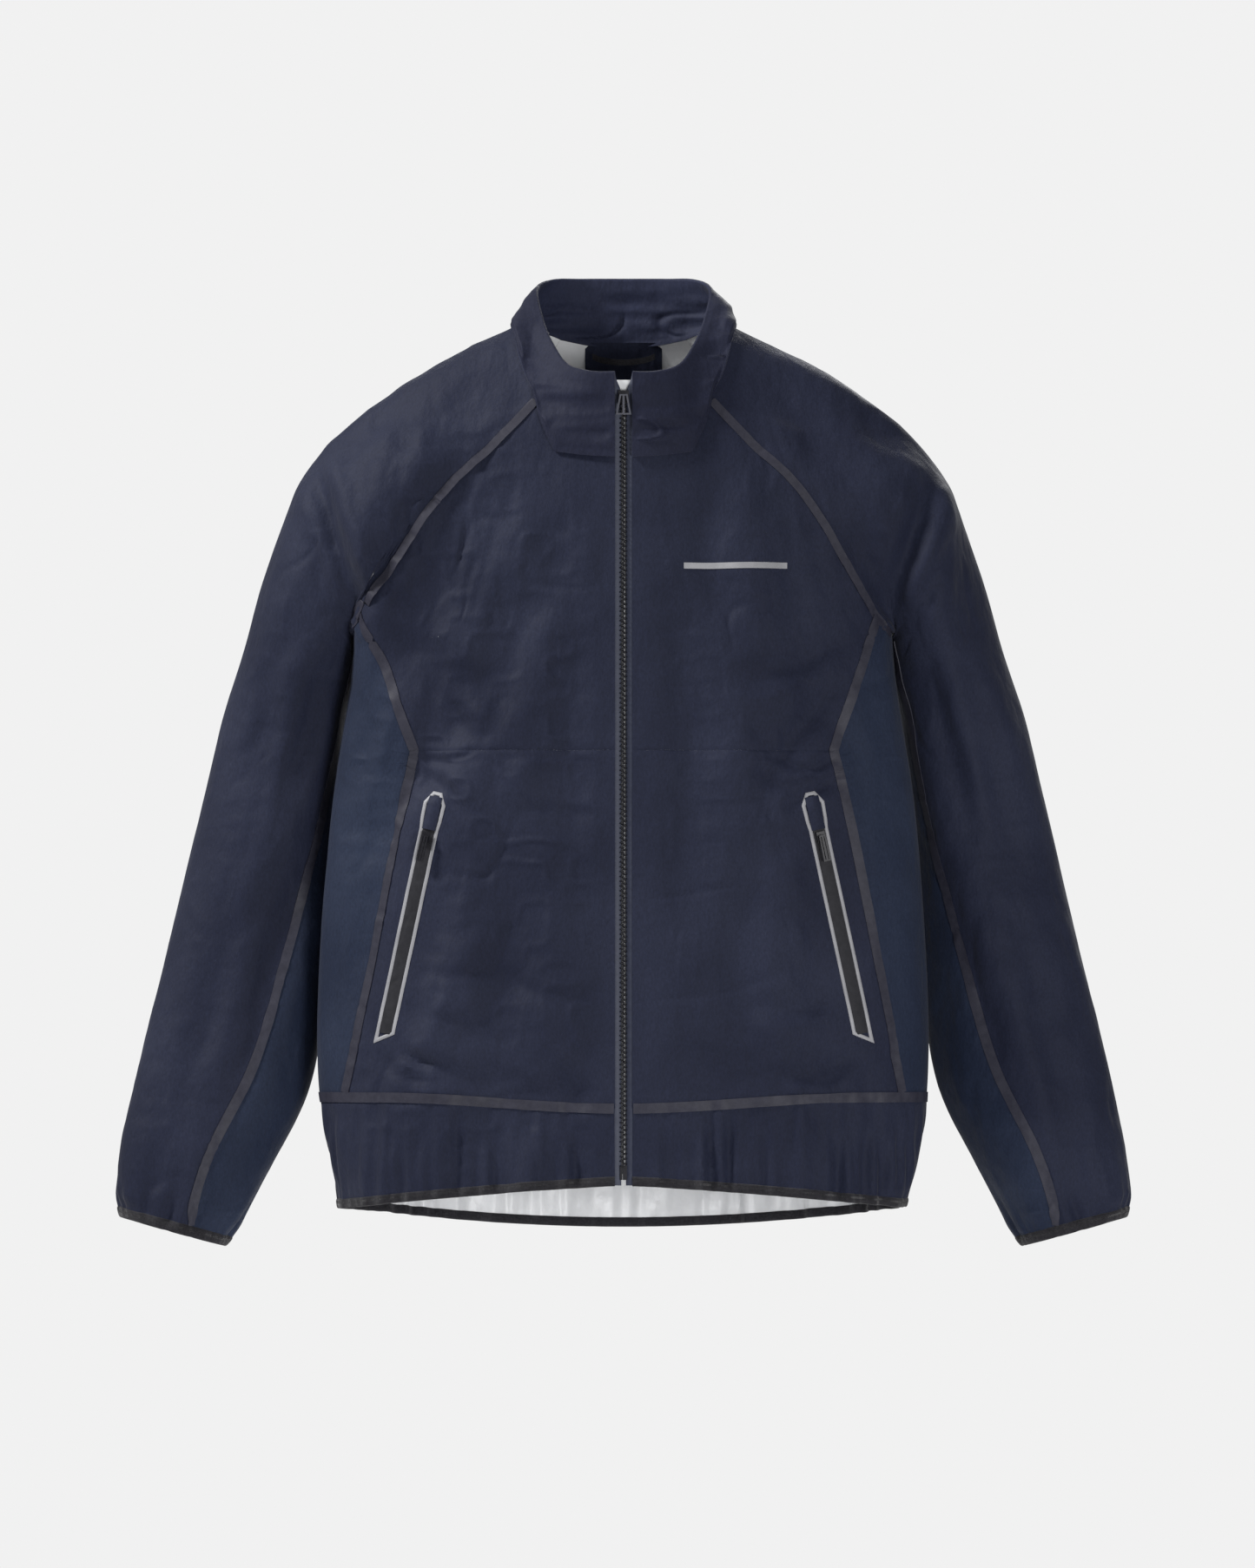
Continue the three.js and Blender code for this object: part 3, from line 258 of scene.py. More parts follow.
def back_y(x, z):
    """The back's depth: a round arch behind the side line, flattened at the shoulder."""
    return side_y(z) + BACK_DEPTH * arch(x / half_width(z), 2.05) * shoulder_share(x, z, shoulder_back)


def body_point(at):
    """The body at pairs of angle and height: angle 0 is the zip, a half turn is the middle of the back."""
    angle, z = at[..., 0], at[..., 1]
    x = half_width(z) * np.sin(angle)
    y = np.where(np.cos(angle) >= 0, front_y(x, z), back_y(x, z))
    return np.stack([x, y, z], -1)


def normal_of(surface, at, step_a, step_b):
    """The unit normal from small steps each way."""
    a, b = np.array([step_a, 0.0]), np.array([0.0, step_b])
    da = surface(at + a) - surface(at - a)
    db = surface(at + b) - surface(at - b)
    return unit(np.cross(da, db))


def body_normal(at):
    """The outward normal of the body at pairs of angle and height."""
    return normal_of(body_point, at, 0.006, 1.2)


def on_front(p):
    """Places seen from the front, as angle and height on the front half."""
    x, z = p[..., 0], p[..., 1]
    return shelf(np.arcsin(np.clip(x / half_width(z), -1, 1)), z)


def on_back(p):
    """Places seen from the front, as angle and height on the back half."""
    at = on_front(p)
    return shelf(-math.pi - at[..., 0], at[..., 1])


# %% [markdown]
# ## Seam lines
# The panels meet along the lines that a pattern cutter would draw: raglan seams from the neck to the
# underarm, side seams that swing in at the waist and out to the hem band, and a band seam near the hem.

# %% Seam lines on the wearer's right
NECK_SIDE, NECK_FRONT, NECK_CORNER, NECK_BACK = (-85, 24), (-73, -40), (-56, -84), (-52, 9)
NECK_CENTRE_Z, NECK_BACK_Z = -88, 3
UNDERARM, ARM_JUNCTION, BACK_JUNCTION = (-223, -237), (-212, -221), (-206, -222)
SIDE_KINK = (-175, WAIST_Z)
neck_front_line = spline([NECK_SIDE, (-77, -20), NECK_FRONT])
neck_front_lower = spline([NECK_FRONT, (-67, -60), NECK_CORNER])
neck_front_centre = spline([NECK_CORNER, (-30, -87), (-ZIP_HALF, NECK_CENTRE_Z)])
neck_back_line = spline([NECK_SIDE, (-72, 18), NECK_BACK])
neck_back_centre = spline([NECK_BACK, (-28, 4.5), (0, NECK_BACK_Z)])
raglan_front = spline([NECK_FRONT, (-107, -76), (-142, -108), (-164, -137), ARM_JUNCTION])
raglan_back = spline([NECK_BACK, (-76, -28), (-112, -86), (-160, -150), BACK_JUNCTION])
gusset_front = spline([ARM_JUNCTION, UNDERARM])
gusset_back = spline([BACK_JUNCTION, UNDERARM])
side_seam_upper = spline([ARM_JUNCTION, (-189, -291), SIDE_KINK])
side_seam_lower = spline([SIDE_KINK, (-181, -360), (-233, BAND_SEAM_SIDE + 1)])
back_seam = spline([BACK_JUNCTION, (-192, -300), (-190, -400), (-222, BAND_SEAM_SIDE + 1)])


def band_seam_z(x):
    """The height of the seam above the hem band, which rises towards the sides."""
    return lerp(BAND_SEAM_ZIP, BAND_SEAM_SIDE, smooth(np.abs(x) / 200))


def front_edge(line):
    """A seam drawn in x and z, laid on the front."""
    return lambda t: on_front(line(t))


def back_edge(line):
    """A seam drawn in x and z, laid on the back."""
    return lambda t: on_back(line(t))


def reversed_line(line):
    """The same line run from its end to its start."""
    return lambda t: line(1 - t)


def joined(first, second, share):
    """Two lines end to end, which share 0..1 at the given place."""

    def at(t):
        t = np.asarray(t, float)
        return np.where(
            (t < share)[..., None],
            first(np.clip(t / share, 0, 1)),
            second(np.clip((t - share) / (1 - share), 0, 1)),
        )

    return at


# %% [markdown]
# ## The shape of a sleeve
# A sleeve is a stack of slanted rings from the shoulder to the cuff. Its head runs from the raglan seam to
# the first ring on curves that leave the body's slope and arrive along the sleeve. Turn 0 is the top of the
# sleeve, 0.25 its front, 0.5 the underarm and 0.75 its back.

# %% Sleeve surface
STATIONS = np.array(
    [
        (-275, -125, -228, -244, -26, 60),
        (-300, -195, -229, -266, -18, 58),
        (-316, -253, -231, -298, -10, 57),
        (-333, -307, -233, -340, -4, 56),
        (-348, -370, -237, -394, -1, 55),
        (-363, -432, -241, -454, -1, 54),
        (-380, -504, -247, -528, -6, 53),
        (-402, -598, -261, -614, -16, 51),
        (-416, -662, -290, -674, -26, 46),
        (-420, -700, -316, -720, -31, 39),
        (-419, -713, -327, -738, -33, 35),
    ],
    float,
)
CUFF_END = (-418, -722, -331, -746, -34, 34)
outer_line, inner_line = spline(STATIONS[:, 0:2]), spline(STATIONS[:, 2:4])
count_line = np.arange(len(STATIONS), dtype=float)
centre_line = spline(np.column_stack([count_line, STATIONS[:, 4]]))
depth_line = spline(np.column_stack([count_line, STATIONS[:, 5]]))
FRONT_NECK_TURN, JUNCTION_TURN = 0.055, 0.46


def tube_point(turn, along):
    """The arm of the sleeve: each ring is an ellipse from the inner line to the outer line and back."""
    outer, inner = outer_line(along), inner_line(along)
    angle = turn * 2 * math.pi
    across = (1 + np.cos(angle))[..., None] / 2
    xz = lerp(inner, outer, across)
    y = centre_line(along)[..., 1] - depth_line(along)[..., 1] * np.sin(angle)
    return np.stack([xz[..., 0], y, xz[..., 1]], -1)


def raglan_loop(turn):
    """The closed seam between body and sleeve, as angle and height on the body."""
    t = np.minimum(turn, 1 - turn)

    def half(neck, raglan, gusset):
        """The front or the back half: neck, then raglan seam, then gusset, each over its share of turn."""
        line = gusset((t - JUNCTION_TURN) / (0.5 - JUNCTION_TURN))
        middle = raglan((t - FRONT_NECK_TURN) / (JUNCTION_TURN - FRONT_NECK_TURN))
        line = np.where((t < JUNCTION_TURN)[..., None], middle, line)
        return np.where((t < FRONT_NECK_TURN)[..., None], neck(t / FRONT_NECK_TURN), line)

    front = on_front(half(neck_front_line, raglan_front, gusset_front))
    back = on_back(half(neck_back_line, raglan_back, gusset_back))
    return np.where((turn <= 0.5)[..., None], front, back)


UNDER_LIFT = 0.5  # how far the cloth rises off the body as it leaves the seam under the arm


def head_point(turn, along):
    """The sleeve head: a curve from the seam to the first ring, which starts on the body's slope."""
    at = raglan_loop(turn)
    start, end = body_point(at), tube_point(turn, 0 * turn)
    span = end - start
    reach = np.linalg.norm(span, axis=-1, keepdims=True)
    n = body_normal(at)
    near = np.minimum(turn, 1 - turn)
    top = np.exp(-((near / 0.07) ** 2))[..., None]
    leave = unit(span - n * np.sum(span * n, -1, keepdims=True) * (1 - top))
    leave = lerp(leave, np.array([-0.7, 0, -0.7]), top)
    leave = lerp(leave, n, UNDER_LIFT * smooth((near - 0.43) / 0.06)[..., None])
    leave = leave * reach * lerp(0.95, 0.22, top)
    over_top = np.exp(-((near / 0.14) ** 2))[..., None]
    arrive = unit(tube_point(turn, 0 * turn + 0.02) - end) * reach * lerp(0.72, 1.0, over_top)
    t = np.clip(along, 0, 1)[..., None]
    return (
        start * (2 * t**3 - 3 * t**2 + 1)
        + leave * (t**3 - 2 * t**2 + t)
        + end * (3 * t**2 - 2 * t**3)
        + arrive * (t**3 - t**2)
    )


def sleeve_point(at):
    """The sleeve at pairs of turn and place: minus one to zero is the head, zero to one the tube."""
    turn, along = at[..., 0] % 1, at[..., 1]
    head = head_point(turn, along + 1)
    return np.where((along < 0)[..., None], head, tube_point(turn, np.maximum(along, 0)))


def sleeve_normal(at):
    """The outward normal of the sleeve at pairs of turn and place."""
    return -normal_of(sleeve_point, at, 0.006, 0.008)


front_seam_line = spline([(0, 0.458), (0.25, 0.43), (0.45, 0.386), (0.7, 0.322), (0.86, 0.275), (1, 0.3)])


def front_seam_turn(along):
    """Where the front seam of the under-sleeve panel lies round the sleeve."""
    return front_seam_line(along)[..., 1]


def back_seam_turn(along):
    """Where the back seam of the under-sleeve panel lies round the sleeve."""
    return lerp(0.545, 0.64, smooth(along * 1.6))


# %% [markdown]
# ## Folds
# A shell cloth falls in long soft folds where it hangs free, in sharper drag lines where a seam holds it, and
# in short gathers where elastic pulls it in. Each fold is a small move along the surface's normal that
# depends only on the place in space, so panels, tapes and pockets that share a place move together.

# %% Fold field
BROAD, MIDDLE, SMALL, CRUMPLE = Lattice(11), Lattice(23), Lattice(37), Lattice(53)

# Drag lines seen from the front, each one a list of points, a width and a depth.
CREASES_RIGHT = [
    ([(-256, -98), (-243, -150), (-231, -186), (-222, -216)], 10, 5.5),
    ([(-264, -150), (-250, -196), (-238, -232)], 9, 2.6),
    ([(-96, -22), (-140, -52), (-186, -86)], 16, 2.2),
    ([(-120, -14), (-176, -44), (-226, -90)], 13, 1.6),
    ([(-196, -236), (-150, -268), (-96, -290)], 13, 1.8),
    ([(-186, -262), (-140, -306), (-100, -352)], 12, 1.6),
    ([(-176, -338), (-146, -344), (-118, -336)], 5, 1.1),
    ([(-172, -352), (-148, -366), (-128, -392)], 7, 1.3),
    ([(-202, -560), (-176, -588), (-140, -600)], 6, 1.6),
    ([(-206, -580), (-184, -602), (-152, -612)], 5, 1.2),
    ([(-186, -540), (-150, -560), (-110, -560)], 9, 1.2),
    ([(-78, -96), (-60, -150), (-56, -220)], 18, 2.0),
    ([(-34, -200), (-42, -330), (-36, -460)], 20, 2.2),
    ([(-100, -400), (-92, -500), (-104, -600)], 20, 2.0),
    ([(-250, -250), (-262, -310), (-284, -390)], 11, 2.6),
    ([(-286, -240), (-300, -330), (-322, -430)], 15, 2.2),
    ([(-262, -420), (-286, -500), (-306, -570)], 12, 2.0),
    ([(-330, -470), (-346, -560), (-372, -650)], 13, 1.8),
]
CREASES_LEFT = [
    ([(256, -98), (245, -146), (232, -184), (222, -216)], 11, 5.0),
    ([(268, -160), (252, -200), (240, -236)], 9, 2.4),
    ([(100, -20), (146, -56), (180, -100)], 15, 2.2),
    ([(128, -16), (184, -50), (230, -98)], 13, 1.7),
    ([(192, -240), (144, -262), (88, -276)], 13, 1.8),
    ([(184, -268), (146, -318), (116, -370)], 12, 1.5),
    ([(178, -340), (150, -350), (124, -338)], 5, 1.2),
    ([(174, -356), (152, -372), (130, -384)], 7, 1.3),
    ([(204, -566), (180, -592), (146, -602)], 6, 1.5),
    ([(196, -588), (170, -608), (132, -606)], 5, 1.3),
    ([(188, -530), (150, -548), (104, -546)], 9, 1.3),
    ([(84, -96), (72, -160), (80, -240)], 18, 2.0),
    ([(42, -220), (60, -330), (48, -470)], 22, 2.8),
    ([(112, -410), (96, -510), (108, -604)], 20, 2.2),
    ([(250, -250), (266, -320), (288, -396)], 11, 2.5),
    ([(288, -250), (306, -340), (326, -440)], 15, 2.2),
    ([(264, -430), (284, -508), (310, -580)], 12, 2.0),
    ([(332, -480), (350, -570), (374, -655)], 13, 1.8),
]
CREASES_BACK = [
    ([(-206, -226), (-150, -262), (-70, -276), (0, -272)], 20, 2.4),
    ([(206, -226), (160, -252), (90, -286)], 20, 2.6),
    ([(-30, -60), (-50, -180), (-40, -300)], 26, 2.2),
    ([(90, -90), (70, -240), (96, -420)], 26, 2.6),
    ([(-110, -330), (-120, -460), (-96, -600)], 24, 2.6),
    ([(20, -380), (34, -500), (14, -610)], 24, 2.4),
    ([(-252, -130), (-238, -180), (-220, -226)], 11, 3.4),
    ([(252, -130), (240, -180), (220, -226)], 11, 3.4),
]


# How deep each kind of fold is, in millimetres, and how many times deeper a drag line is than its own depth.
BROAD_FOLD, MIDDLE_FOLD, SMALL_FOLD, CRUMPLE_FOLD = 6.2, 3.4, 1.0, 0.75
LONG_CREASE, SHORT_CREASE = 1.1, 0.6
BAND_PLEAT, CUFF_GATHER = 4.8, 2.4
WAIST_GROOVE = 0.6
DRAG_DEPTH = 2.3
EDGE_ON_SHARE = 0.12  # the share of the folds left where the cloth turns away to the side
RIGHT_SLACK = 2.0  # the wearer's right front hangs slacker than the left, so its folds are deeper


def crease_sum(x, z, creases):
    """The depth of every drag line at points seen from the front: a furrow with a soft ridge beside it."""
    total = np.zeros_like(x)
    for points, width, depth in creases:
        line = spline(points)(np.linspace(0, 1, 48))
        low, high = line.min(0) - 4 * width, line.max(0) + 4 * width
        near = (x > low[0]) & (x < high[0]) & (z > low[1]) & (z < high[1])
        if not near.any():
            continue
        ahead = unit(np.gradient(line, axis=0))
        gap = np.stack([x[near], z[near]], -1)[:, None, :] - line[None]
        nearest = np.argmin(np.sum(gap**2, -1), 1)
        step = gap[np.arange(len(nearest)), nearest]
        dist = np.linalg.norm(step, axis=-1)
        side = np.sign(ahead[nearest, 0] * step[:, 1] - ahead[nearest, 1] * step[:, 0])
        off = side * dist
        fade = np.sin(math.pi * (0.04 + 0.92 * nearest / 47)) ** 0.7
        furrow = np.exp(-((off / width) ** 2))
        ridge = 0.75 * np.exp(-(((off - 1.7 * width) / (1.3 * width)) ** 2))
        total[near] += DRAG_DEPTH * depth * fade * (ridge - furrow)
    return total


def crinkles(p):
    """Sharp thin creases: narrow furrows where a long noise passes zero, in some patches only."""
    long_line = MIDDLE(p + 17, (42, 50, 78))
    short_line = SMALL(p + 83, (19, 26, 27))
    patch_long = smooth((BROAD(p + 140, (64, 70, 80)) + 0.1) / 0.4)
    patch_short = smooth((BROAD(p + 210, (52, 60, 60)) - 0.05) / 0.3)
    long_furrow = LONG_CREASE * patch_long * np.exp(-((long_line / 0.1) ** 2))
    return long_furrow + SHORT_CREASE * patch_short * np.exp(-((short_line / 0.13) ** 2))


POCKET_LOW, POCKET_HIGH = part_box("pocket_zip_right")
POCKET_CALM, POCKET_CALM_WIDTH = 0.8, 26  # the welded pocket stiffens the cloth round it
POCKET_ZIP_HALF = 0.005  # metres from the edge of the zip's box to the zip's middle line


def pocket_calm(x, z):
    """The share of the folds that a point keeps: few on the pocket's line, all of them away from it."""
    low = np.array([POCKET_LOW[0] + POCKET_ZIP_HALF, POCKET_LOW[2]]) / MM
    high = np.array([POCKET_HIGH[0] - POCKET_ZIP_HALF, POCKET_HIGH[2]]) / MM
    point = np.stack([-np.abs(x), z], -1)
    t = np.clip(np.sum((point - low) * (high - low), -1) / np.sum((high - low) ** 2), 0, 1)
    gap = np.linalg.norm(point - low - t[..., None] * (high - low), axis=-1)
    return 1 - POCKET_CALM * np.exp(-((gap / POCKET_CALM_WIDTH) ** 4))


def folds(p, n):
    """How far the cloth stands out along the normals n at points p: soft noise in four sizes, sharp creases
    and the drag lines, less near the zip, the neck and the pockets, with upright pleats in the hem band."""
    x, y, z = p[..., 0], p[..., 1], p[..., 2]
    facing = smooth(np.abs(n[..., 1]) * 1.5)
    front = n[..., 1] < 0
    slanted = np.stack([x + 0.25 * z * np.tanh(x / 60), y, z - 0.2 * np.hypot(x, 40)], -1)
    out = BROAD_FOLD * BROAD(slanted, (74, 90, 210))
    out = out + MIDDLE_FOLD * MIDDLE(slanted + 31, (34, 60, 100))
    out = out + SMALL_FOLD * SMALL(slanted + 57, (14, 30, 38))
    crumple = 1 - 2 * np.abs(CRUMPLE(p + 5, (21, 25, 17)))
    out = out + CRUMPLE_FOLD * np.maximum(crumple, 0) - crinkles(slanted)
    torso = smooth((262 - np.abs(x)) / 4)
    out = out * lerp(1.0, RIGHT_SLACK, smooth((30 - x) / 90) * smooth((240 + x) / 40) * front)
    drag = np.zeros_like(x)
    drag = np.where(front & (x < 0), crease_sum(x, z, CREASES_RIGHT), drag)
    drag = np.where(front & (x >= 0), crease_sum(x, z, CREASES_LEFT), drag)
    drag = np.where(~front, crease_sum(x, z, CREASES_BACK), drag)
    out = out + drag
    by_zip = np.where(front & (z < -60), smooth((np.abs(x) - 9) / 34), 1)
    by_neck = smooth((np.hypot(x, (z + 28) * 1.1) - 86) / 60)
    out = out * np.where(front, pocket_calm(x, z), 1)
    out = out * by_zip * by_neck * lerp(EDGE_ON_SHARE, 1, facing)
    band = smooth((-612 - z) / 60) * torso
    pleats = SMALL(np.stack([x + 900, y, z * 0.35], -1), (7.5, 11, 26))
    pleats = pleats + 0.6 * MIDDLE(np.stack([x, y, z * 0.3], -1), (15, 18, 30))
    out = out * (1 - 0.4 * band) + BAND_PLEAT * band * by_zip * pleats
    waist = np.exp(-(((z - WAIST_Z) / 1.5) ** 2)) * front * smooth((176 - np.abs(x)) / 3)
    return out - WAIST_GROOVE * waist


def cuff_folds(at):
    """Gathers above the cuff, which fan out along the sleeve."""
    turn, along = at[..., 0], at[..., 1]
    angle = turn * 2 * math.pi
    round_ = np.stack([np.cos(angle) * 100, np.sin(angle) * 100, 90 * along], -1)
    near = smooth((along - 0.8) / 0.17)
    return CUFF_GATHER * near * (SMALL(round_, (17, 17, 30)) + 0.5 * MIDDLE(round_ + 40, (8, 8, 16)))


RIGHT, LEFT = -1, 1
UNDERARM_TOUCH = 6.4  # the sleeve hangs against the body's side just below the underarm


def on_side(v, side):
    """The same points or directions for the wearer's right, as made, or turned over for the left."""
    return v * np.array([-side, 1, 1])


def body_cloth(at, lift=0.0, side=RIGHT):
    """Points on the folded cloth of the body, and the smooth normals there."""
    p, n = on_side(body_point(at), side), on_side(body_normal(at), side)
    return p + n * (folds(p, n) + lift)[..., None], n


def sleeve_cloth(at, lift=0.0, side=RIGHT):
    """Points on the folded cloth of the sleeve. Folds fade into the body's own along the raglan seam."""
    p, n = sleeve_point(at), sleeve_normal(at)
    seam_n = body_normal(raglan_loop(at[..., 0] % 1))
    n = unit(lerp(seam_n, n, smooth((at[..., 1] + 1) / 0.06)[..., None]))
    ends = 1 - smooth((at[..., 1] - 0.9) / 0.1)
    under = np.exp(-(((at[..., 0] % 1 - 0.5) / 0.09) ** 2))
    push = under * smooth((at[..., 1] + 0.5) / 0.4) * smooth((0.26 - at[..., 1]) / 0.14)
    p = p + n * (UNDERARM_TOUCH * push)[..., None]
    p, n = on_side(p, side), on_side(n, side)
    return p + n * (folds(p, n) * (0.3 + 0.7 * ends) + cuff_folds(at) + lift)[..., None], n


# %% [markdown]
# ## Making closed cloth
# Every piece of cloth is a thin solid: an outer face, an inner face the cloth's thickness below it, and a
# wall round its free edges. The inner face has its own finish, because the shell is navy outside and has a
# pale film inside.

# %% Mesh helpers
CLOTH_THICKNESS = 0.9


def new_object(name, points, quads, materials, slots=None, uv=None):
    """A mesh object at the origin, from points in millimetres and four-cornered faces."""
    mesh = bpy.data.meshes.new(name)
    mesh.vertices.add(len(points))
    mesh.vertices.foreach_set("co", (points * MM).astype(np.float32).ravel())
    mesh.loops.add(quads.size)
    mesh.loops.foreach_set("vertex_index", quads.astype(np.int32).ravel())
    mesh.polygons.add(len(quads))
    mesh.polygons.foreach_set("loop_start", np.arange(0, quads.size, 4, dtype=np.int32))
    for material in materials:
        mesh.materials.append(material)
    if slots is not None:
        mesh.polygons.foreach_set("material_index", slots.astype(np.int32))
    if uv is not None:
        layer = mesh.uv_layers.new(name="cloth")
        layer.data.foreach_set("uv", uv[quads.ravel()].astype(np.float32).ravel())
    mesh.update(calc_edges=True)
    mesh.validate()
    mesh.polygons.foreach_set("use_smooth", np.ones(len(mesh.polygons), bool))
    mesh.set_sharp_from_angle(angle=math.radians(48))
    obj = bpy.data.objects.new(name, mesh)
    scene.collection.objects.link(obj)
    return obj


def grid_quads(rows, cols, loop=False):
    """Faces of a grid of points, counted row by row. A loop joins its last column to its first."""
    i, j = np.meshgrid(np.arange(cols if loop else cols - 1), np.arange(rows - 1))
    a, b = j * cols + i, j * cols + (i + 1) % cols
    return np.stack([a, b, b + cols, a + cols], -1).reshape(-1, 4)


def thick_cloth(name, outer, inner, quads, materials, uv=None, inner_slot=1):
    """A closed solid from two layers of points with the same faces, walled along every free edge."""
    count = len(outer)
    edges = np.concatenate([quads[:, [k, (k + 1) % 4]] for k in range(4)])
    key = np.sort(edges, 1)
    _, index, times = np.unique(key, axis=0, return_index=True, return_counts=True)
    free = edges[index[times == 1]]
    walls = np.stack([free[:, 1], free[:, 0], free[:, 0] + count, free[:, 1] + count], -1)
    faces = np.concatenate([quads, quads[:, ::-1] + count, walls])
    points = np.concatenate([outer, inner])
    a, b, c, d = (points[faces[:, k]] for k in range(4))
    volume = np.sum(a * np.cross(b, c)) + np.sum(a * np.cross(c, d))
    if volume < 0:
        faces = faces[:, ::-1]
    slots = np.concatenate([np.zeros(len(quads)), np.full(len(quads), inner_slot), np.zeros(len(walls))])
    used = np.unique(faces)
    renumber = np.zeros(len(points), int)
    renumber[used] = np.arange(len(used))
    double = None if uv is None else np.concatenate([uv, uv])[used]
    return new_object(name, points[used], renumber[faces], materials, slots, double)


def arc_uv(points):
    """Metres along each row and column of a grid of points, for a weave that keeps its size."""
    du = np.linalg.norm(np.diff(points, axis=1), axis=-1).mean(0)
    dv = np.linalg.norm(np.diff(points, axis=0), axis=-1).mean(1)
    u, v = np.concatenate([[0], np.cumsum(du)]), np.concatenate([[0], np.cumsum(dv)])
    return np.stack(np.meshgrid(u, v), -1).reshape(-1, 2) * MM


def cloth_from(name, place, cols, rows, materials):
    """Cloth over a grid. place(u, v) gives points and outward normals for shares of the width and height."""
    outer, n = place(*np.meshgrid(np.linspace(0, 1, cols + 1), np.linspace(0, 1, rows + 1)))
    inner = outer - n * CLOTH_THICKNESS
    quads = grid_quads(*outer.shape[:2])
    return thick_cloth(name, outer.reshape(-1, 3), inner.reshape(-1, 3), quads, materials, arc_uv(outer))


def one_finish(name, face, rear, finish, uv=None):
    """A thin piece with the same finish on both faces, from two grids of points that match."""
    uv = arc_uv(face) if uv is None else uv
    quads = grid_quads(*face.shape[:2])
    return thick_cloth(name, face.reshape(-1, 3), rear.reshape(-1, 3), quads, [finish], uv, 0)


def area_of(obj):
    """The area of one side of a thin piece of cloth, in square metres."""
    areas = np.zeros(len(obj.data.polygons))
    obj.data.polygons.foreach_get("area", areas)
    return float(areas.sum()) / 2


# %% [markdown]
# ## Materials
# Each finish is a small node tree that reads the piece's own coordinates, so its grain keeps its real size.
# The shell is a dull laminate with a fine weave and a slight mottling. The bonded tapes are smoother and
# warmer. The lining is a pale film with a soft shine, and the pocket frames are silver film.

# %% Materials
def linear(red, green, blue):
    """Screen values 0..255 as the linear shares that a shader takes."""
    c = np.array([red, green, blue]) / 255
    return tuple(np.where(c <= 0.04045, c / 12.92, ((c + 0.055) / 1.055) ** 2.4)) + (1,)


class Finish:
    """Builds one node material around a Principled shader."""

    def __init__(self, name, rough, specular=0.4, metal=0.0, sheen=0.0):
        self.material = bpy.data.materials.new(name)
        self.material.use_nodes = True
        self.tree = self.material.node_tree
        self.shader = self.tree.nodes["Principled BSDF"]
        self.shader.inputs["Roughness"].default_value = rough
        self.shader.inputs["Specular IOR Level"].default_value = specular
        self.shader.inputs["Metallic"].default_value = metal
        self.shader.inputs["Sheen Weight"].default_value = sheen
        self.place = self.tree.nodes.new("ShaderNodeTexCoord")
        self.bump = None

    def link(self, out, into):
        """Joins an output to an input."""
        self.tree.links.new(out, into)

    def noise(self, scale, detail=3.0, stretch=(1, 1, 1), coords="Object"):
        """Noise with this many cells to the metre, stretched along the axes."""
        turn = self.tree.nodes.new("ShaderNodeMapping")
        turn.inputs["Scale"].default_value = stretch
        self.link(self.place.outputs[coords], turn.inputs["Vector"])
        node = self.tree.nodes.new("ShaderNodeTexNoise")
        node.inputs["Scale"].default_value = scale
        node.inputs["Detail"].default_value = detail
        self.link(turn.outputs[0], node.inputs["Vector"])
        return node.outputs["Fac"]

    def wave(self, scale, axis="X"):
        """Threads: a sine along one axis of the cloth's own coordinates, in waves to the metre."""
        node = self.tree.nodes.new("ShaderNodeTexWave")
        node.bands_direction = axis
        node.inputs["Scale"].default_value = scale / 20 * 2 * math.pi
        node.inputs["Distortion"].default_value = 0
        self.link(self.place.outputs["UV"], node.inputs["Vector"])
        return node.outputs["Fac"]

    def between(self, fac, low, high, a, b):
        """A colour from a to b as fac goes from low to high."""
        ramp = self.tree.nodes.new("ShaderNodeValToRGB")
        ramp.color_ramp.elements[0].position, ramp.color_ramp.elements[1].position = low, high
        ramp.color_ramp.elements[0].color, ramp.color_ramp.elements[1].color = a, b
        self.link(fac, ramp.inputs["Fac"])
        return ramp.outputs["Color"]

    def blended(self, fac, a, b, kind="MIX"):
        """Two colours mixed by a share."""
        node = self.tree.nodes.new("ShaderNodeMix")
        node.data_type, node.blend_type = "RGBA", kind
        for socket, value in ((node.inputs[0], fac), (node.inputs[6], a), (node.inputs[7], b)):
            if hasattr(value, "links"):
                self.link(value, socket)
            else:
                socket.default_value = value
        return node.outputs[2]

    def colour(self, value):
        """Sets the base colour to a value or to a node."""
        if hasattr(value, "links"):
            self.link(value, self.shader.inputs["Base Color"])
        else:
            self.shader.inputs["Base Color"].default_value = value

    def relief(self, fac, height, strength=1.0):
        """Raises the surface by a height in metres where fac is high."""
        node = self.tree.nodes.new("ShaderNodeBump")
        node.inputs["Strength"].default_value = strength
        node.inputs["Distance"].default_value = height
        self.link(fac, node.inputs["Height"])
        if self.bump is not None:
            self.link(self.bump.outputs["Normal"], node.inputs["Normal"])
        self.bump = node
        self.link(node.outputs["Normal"], self.shader.inputs["Normal"])


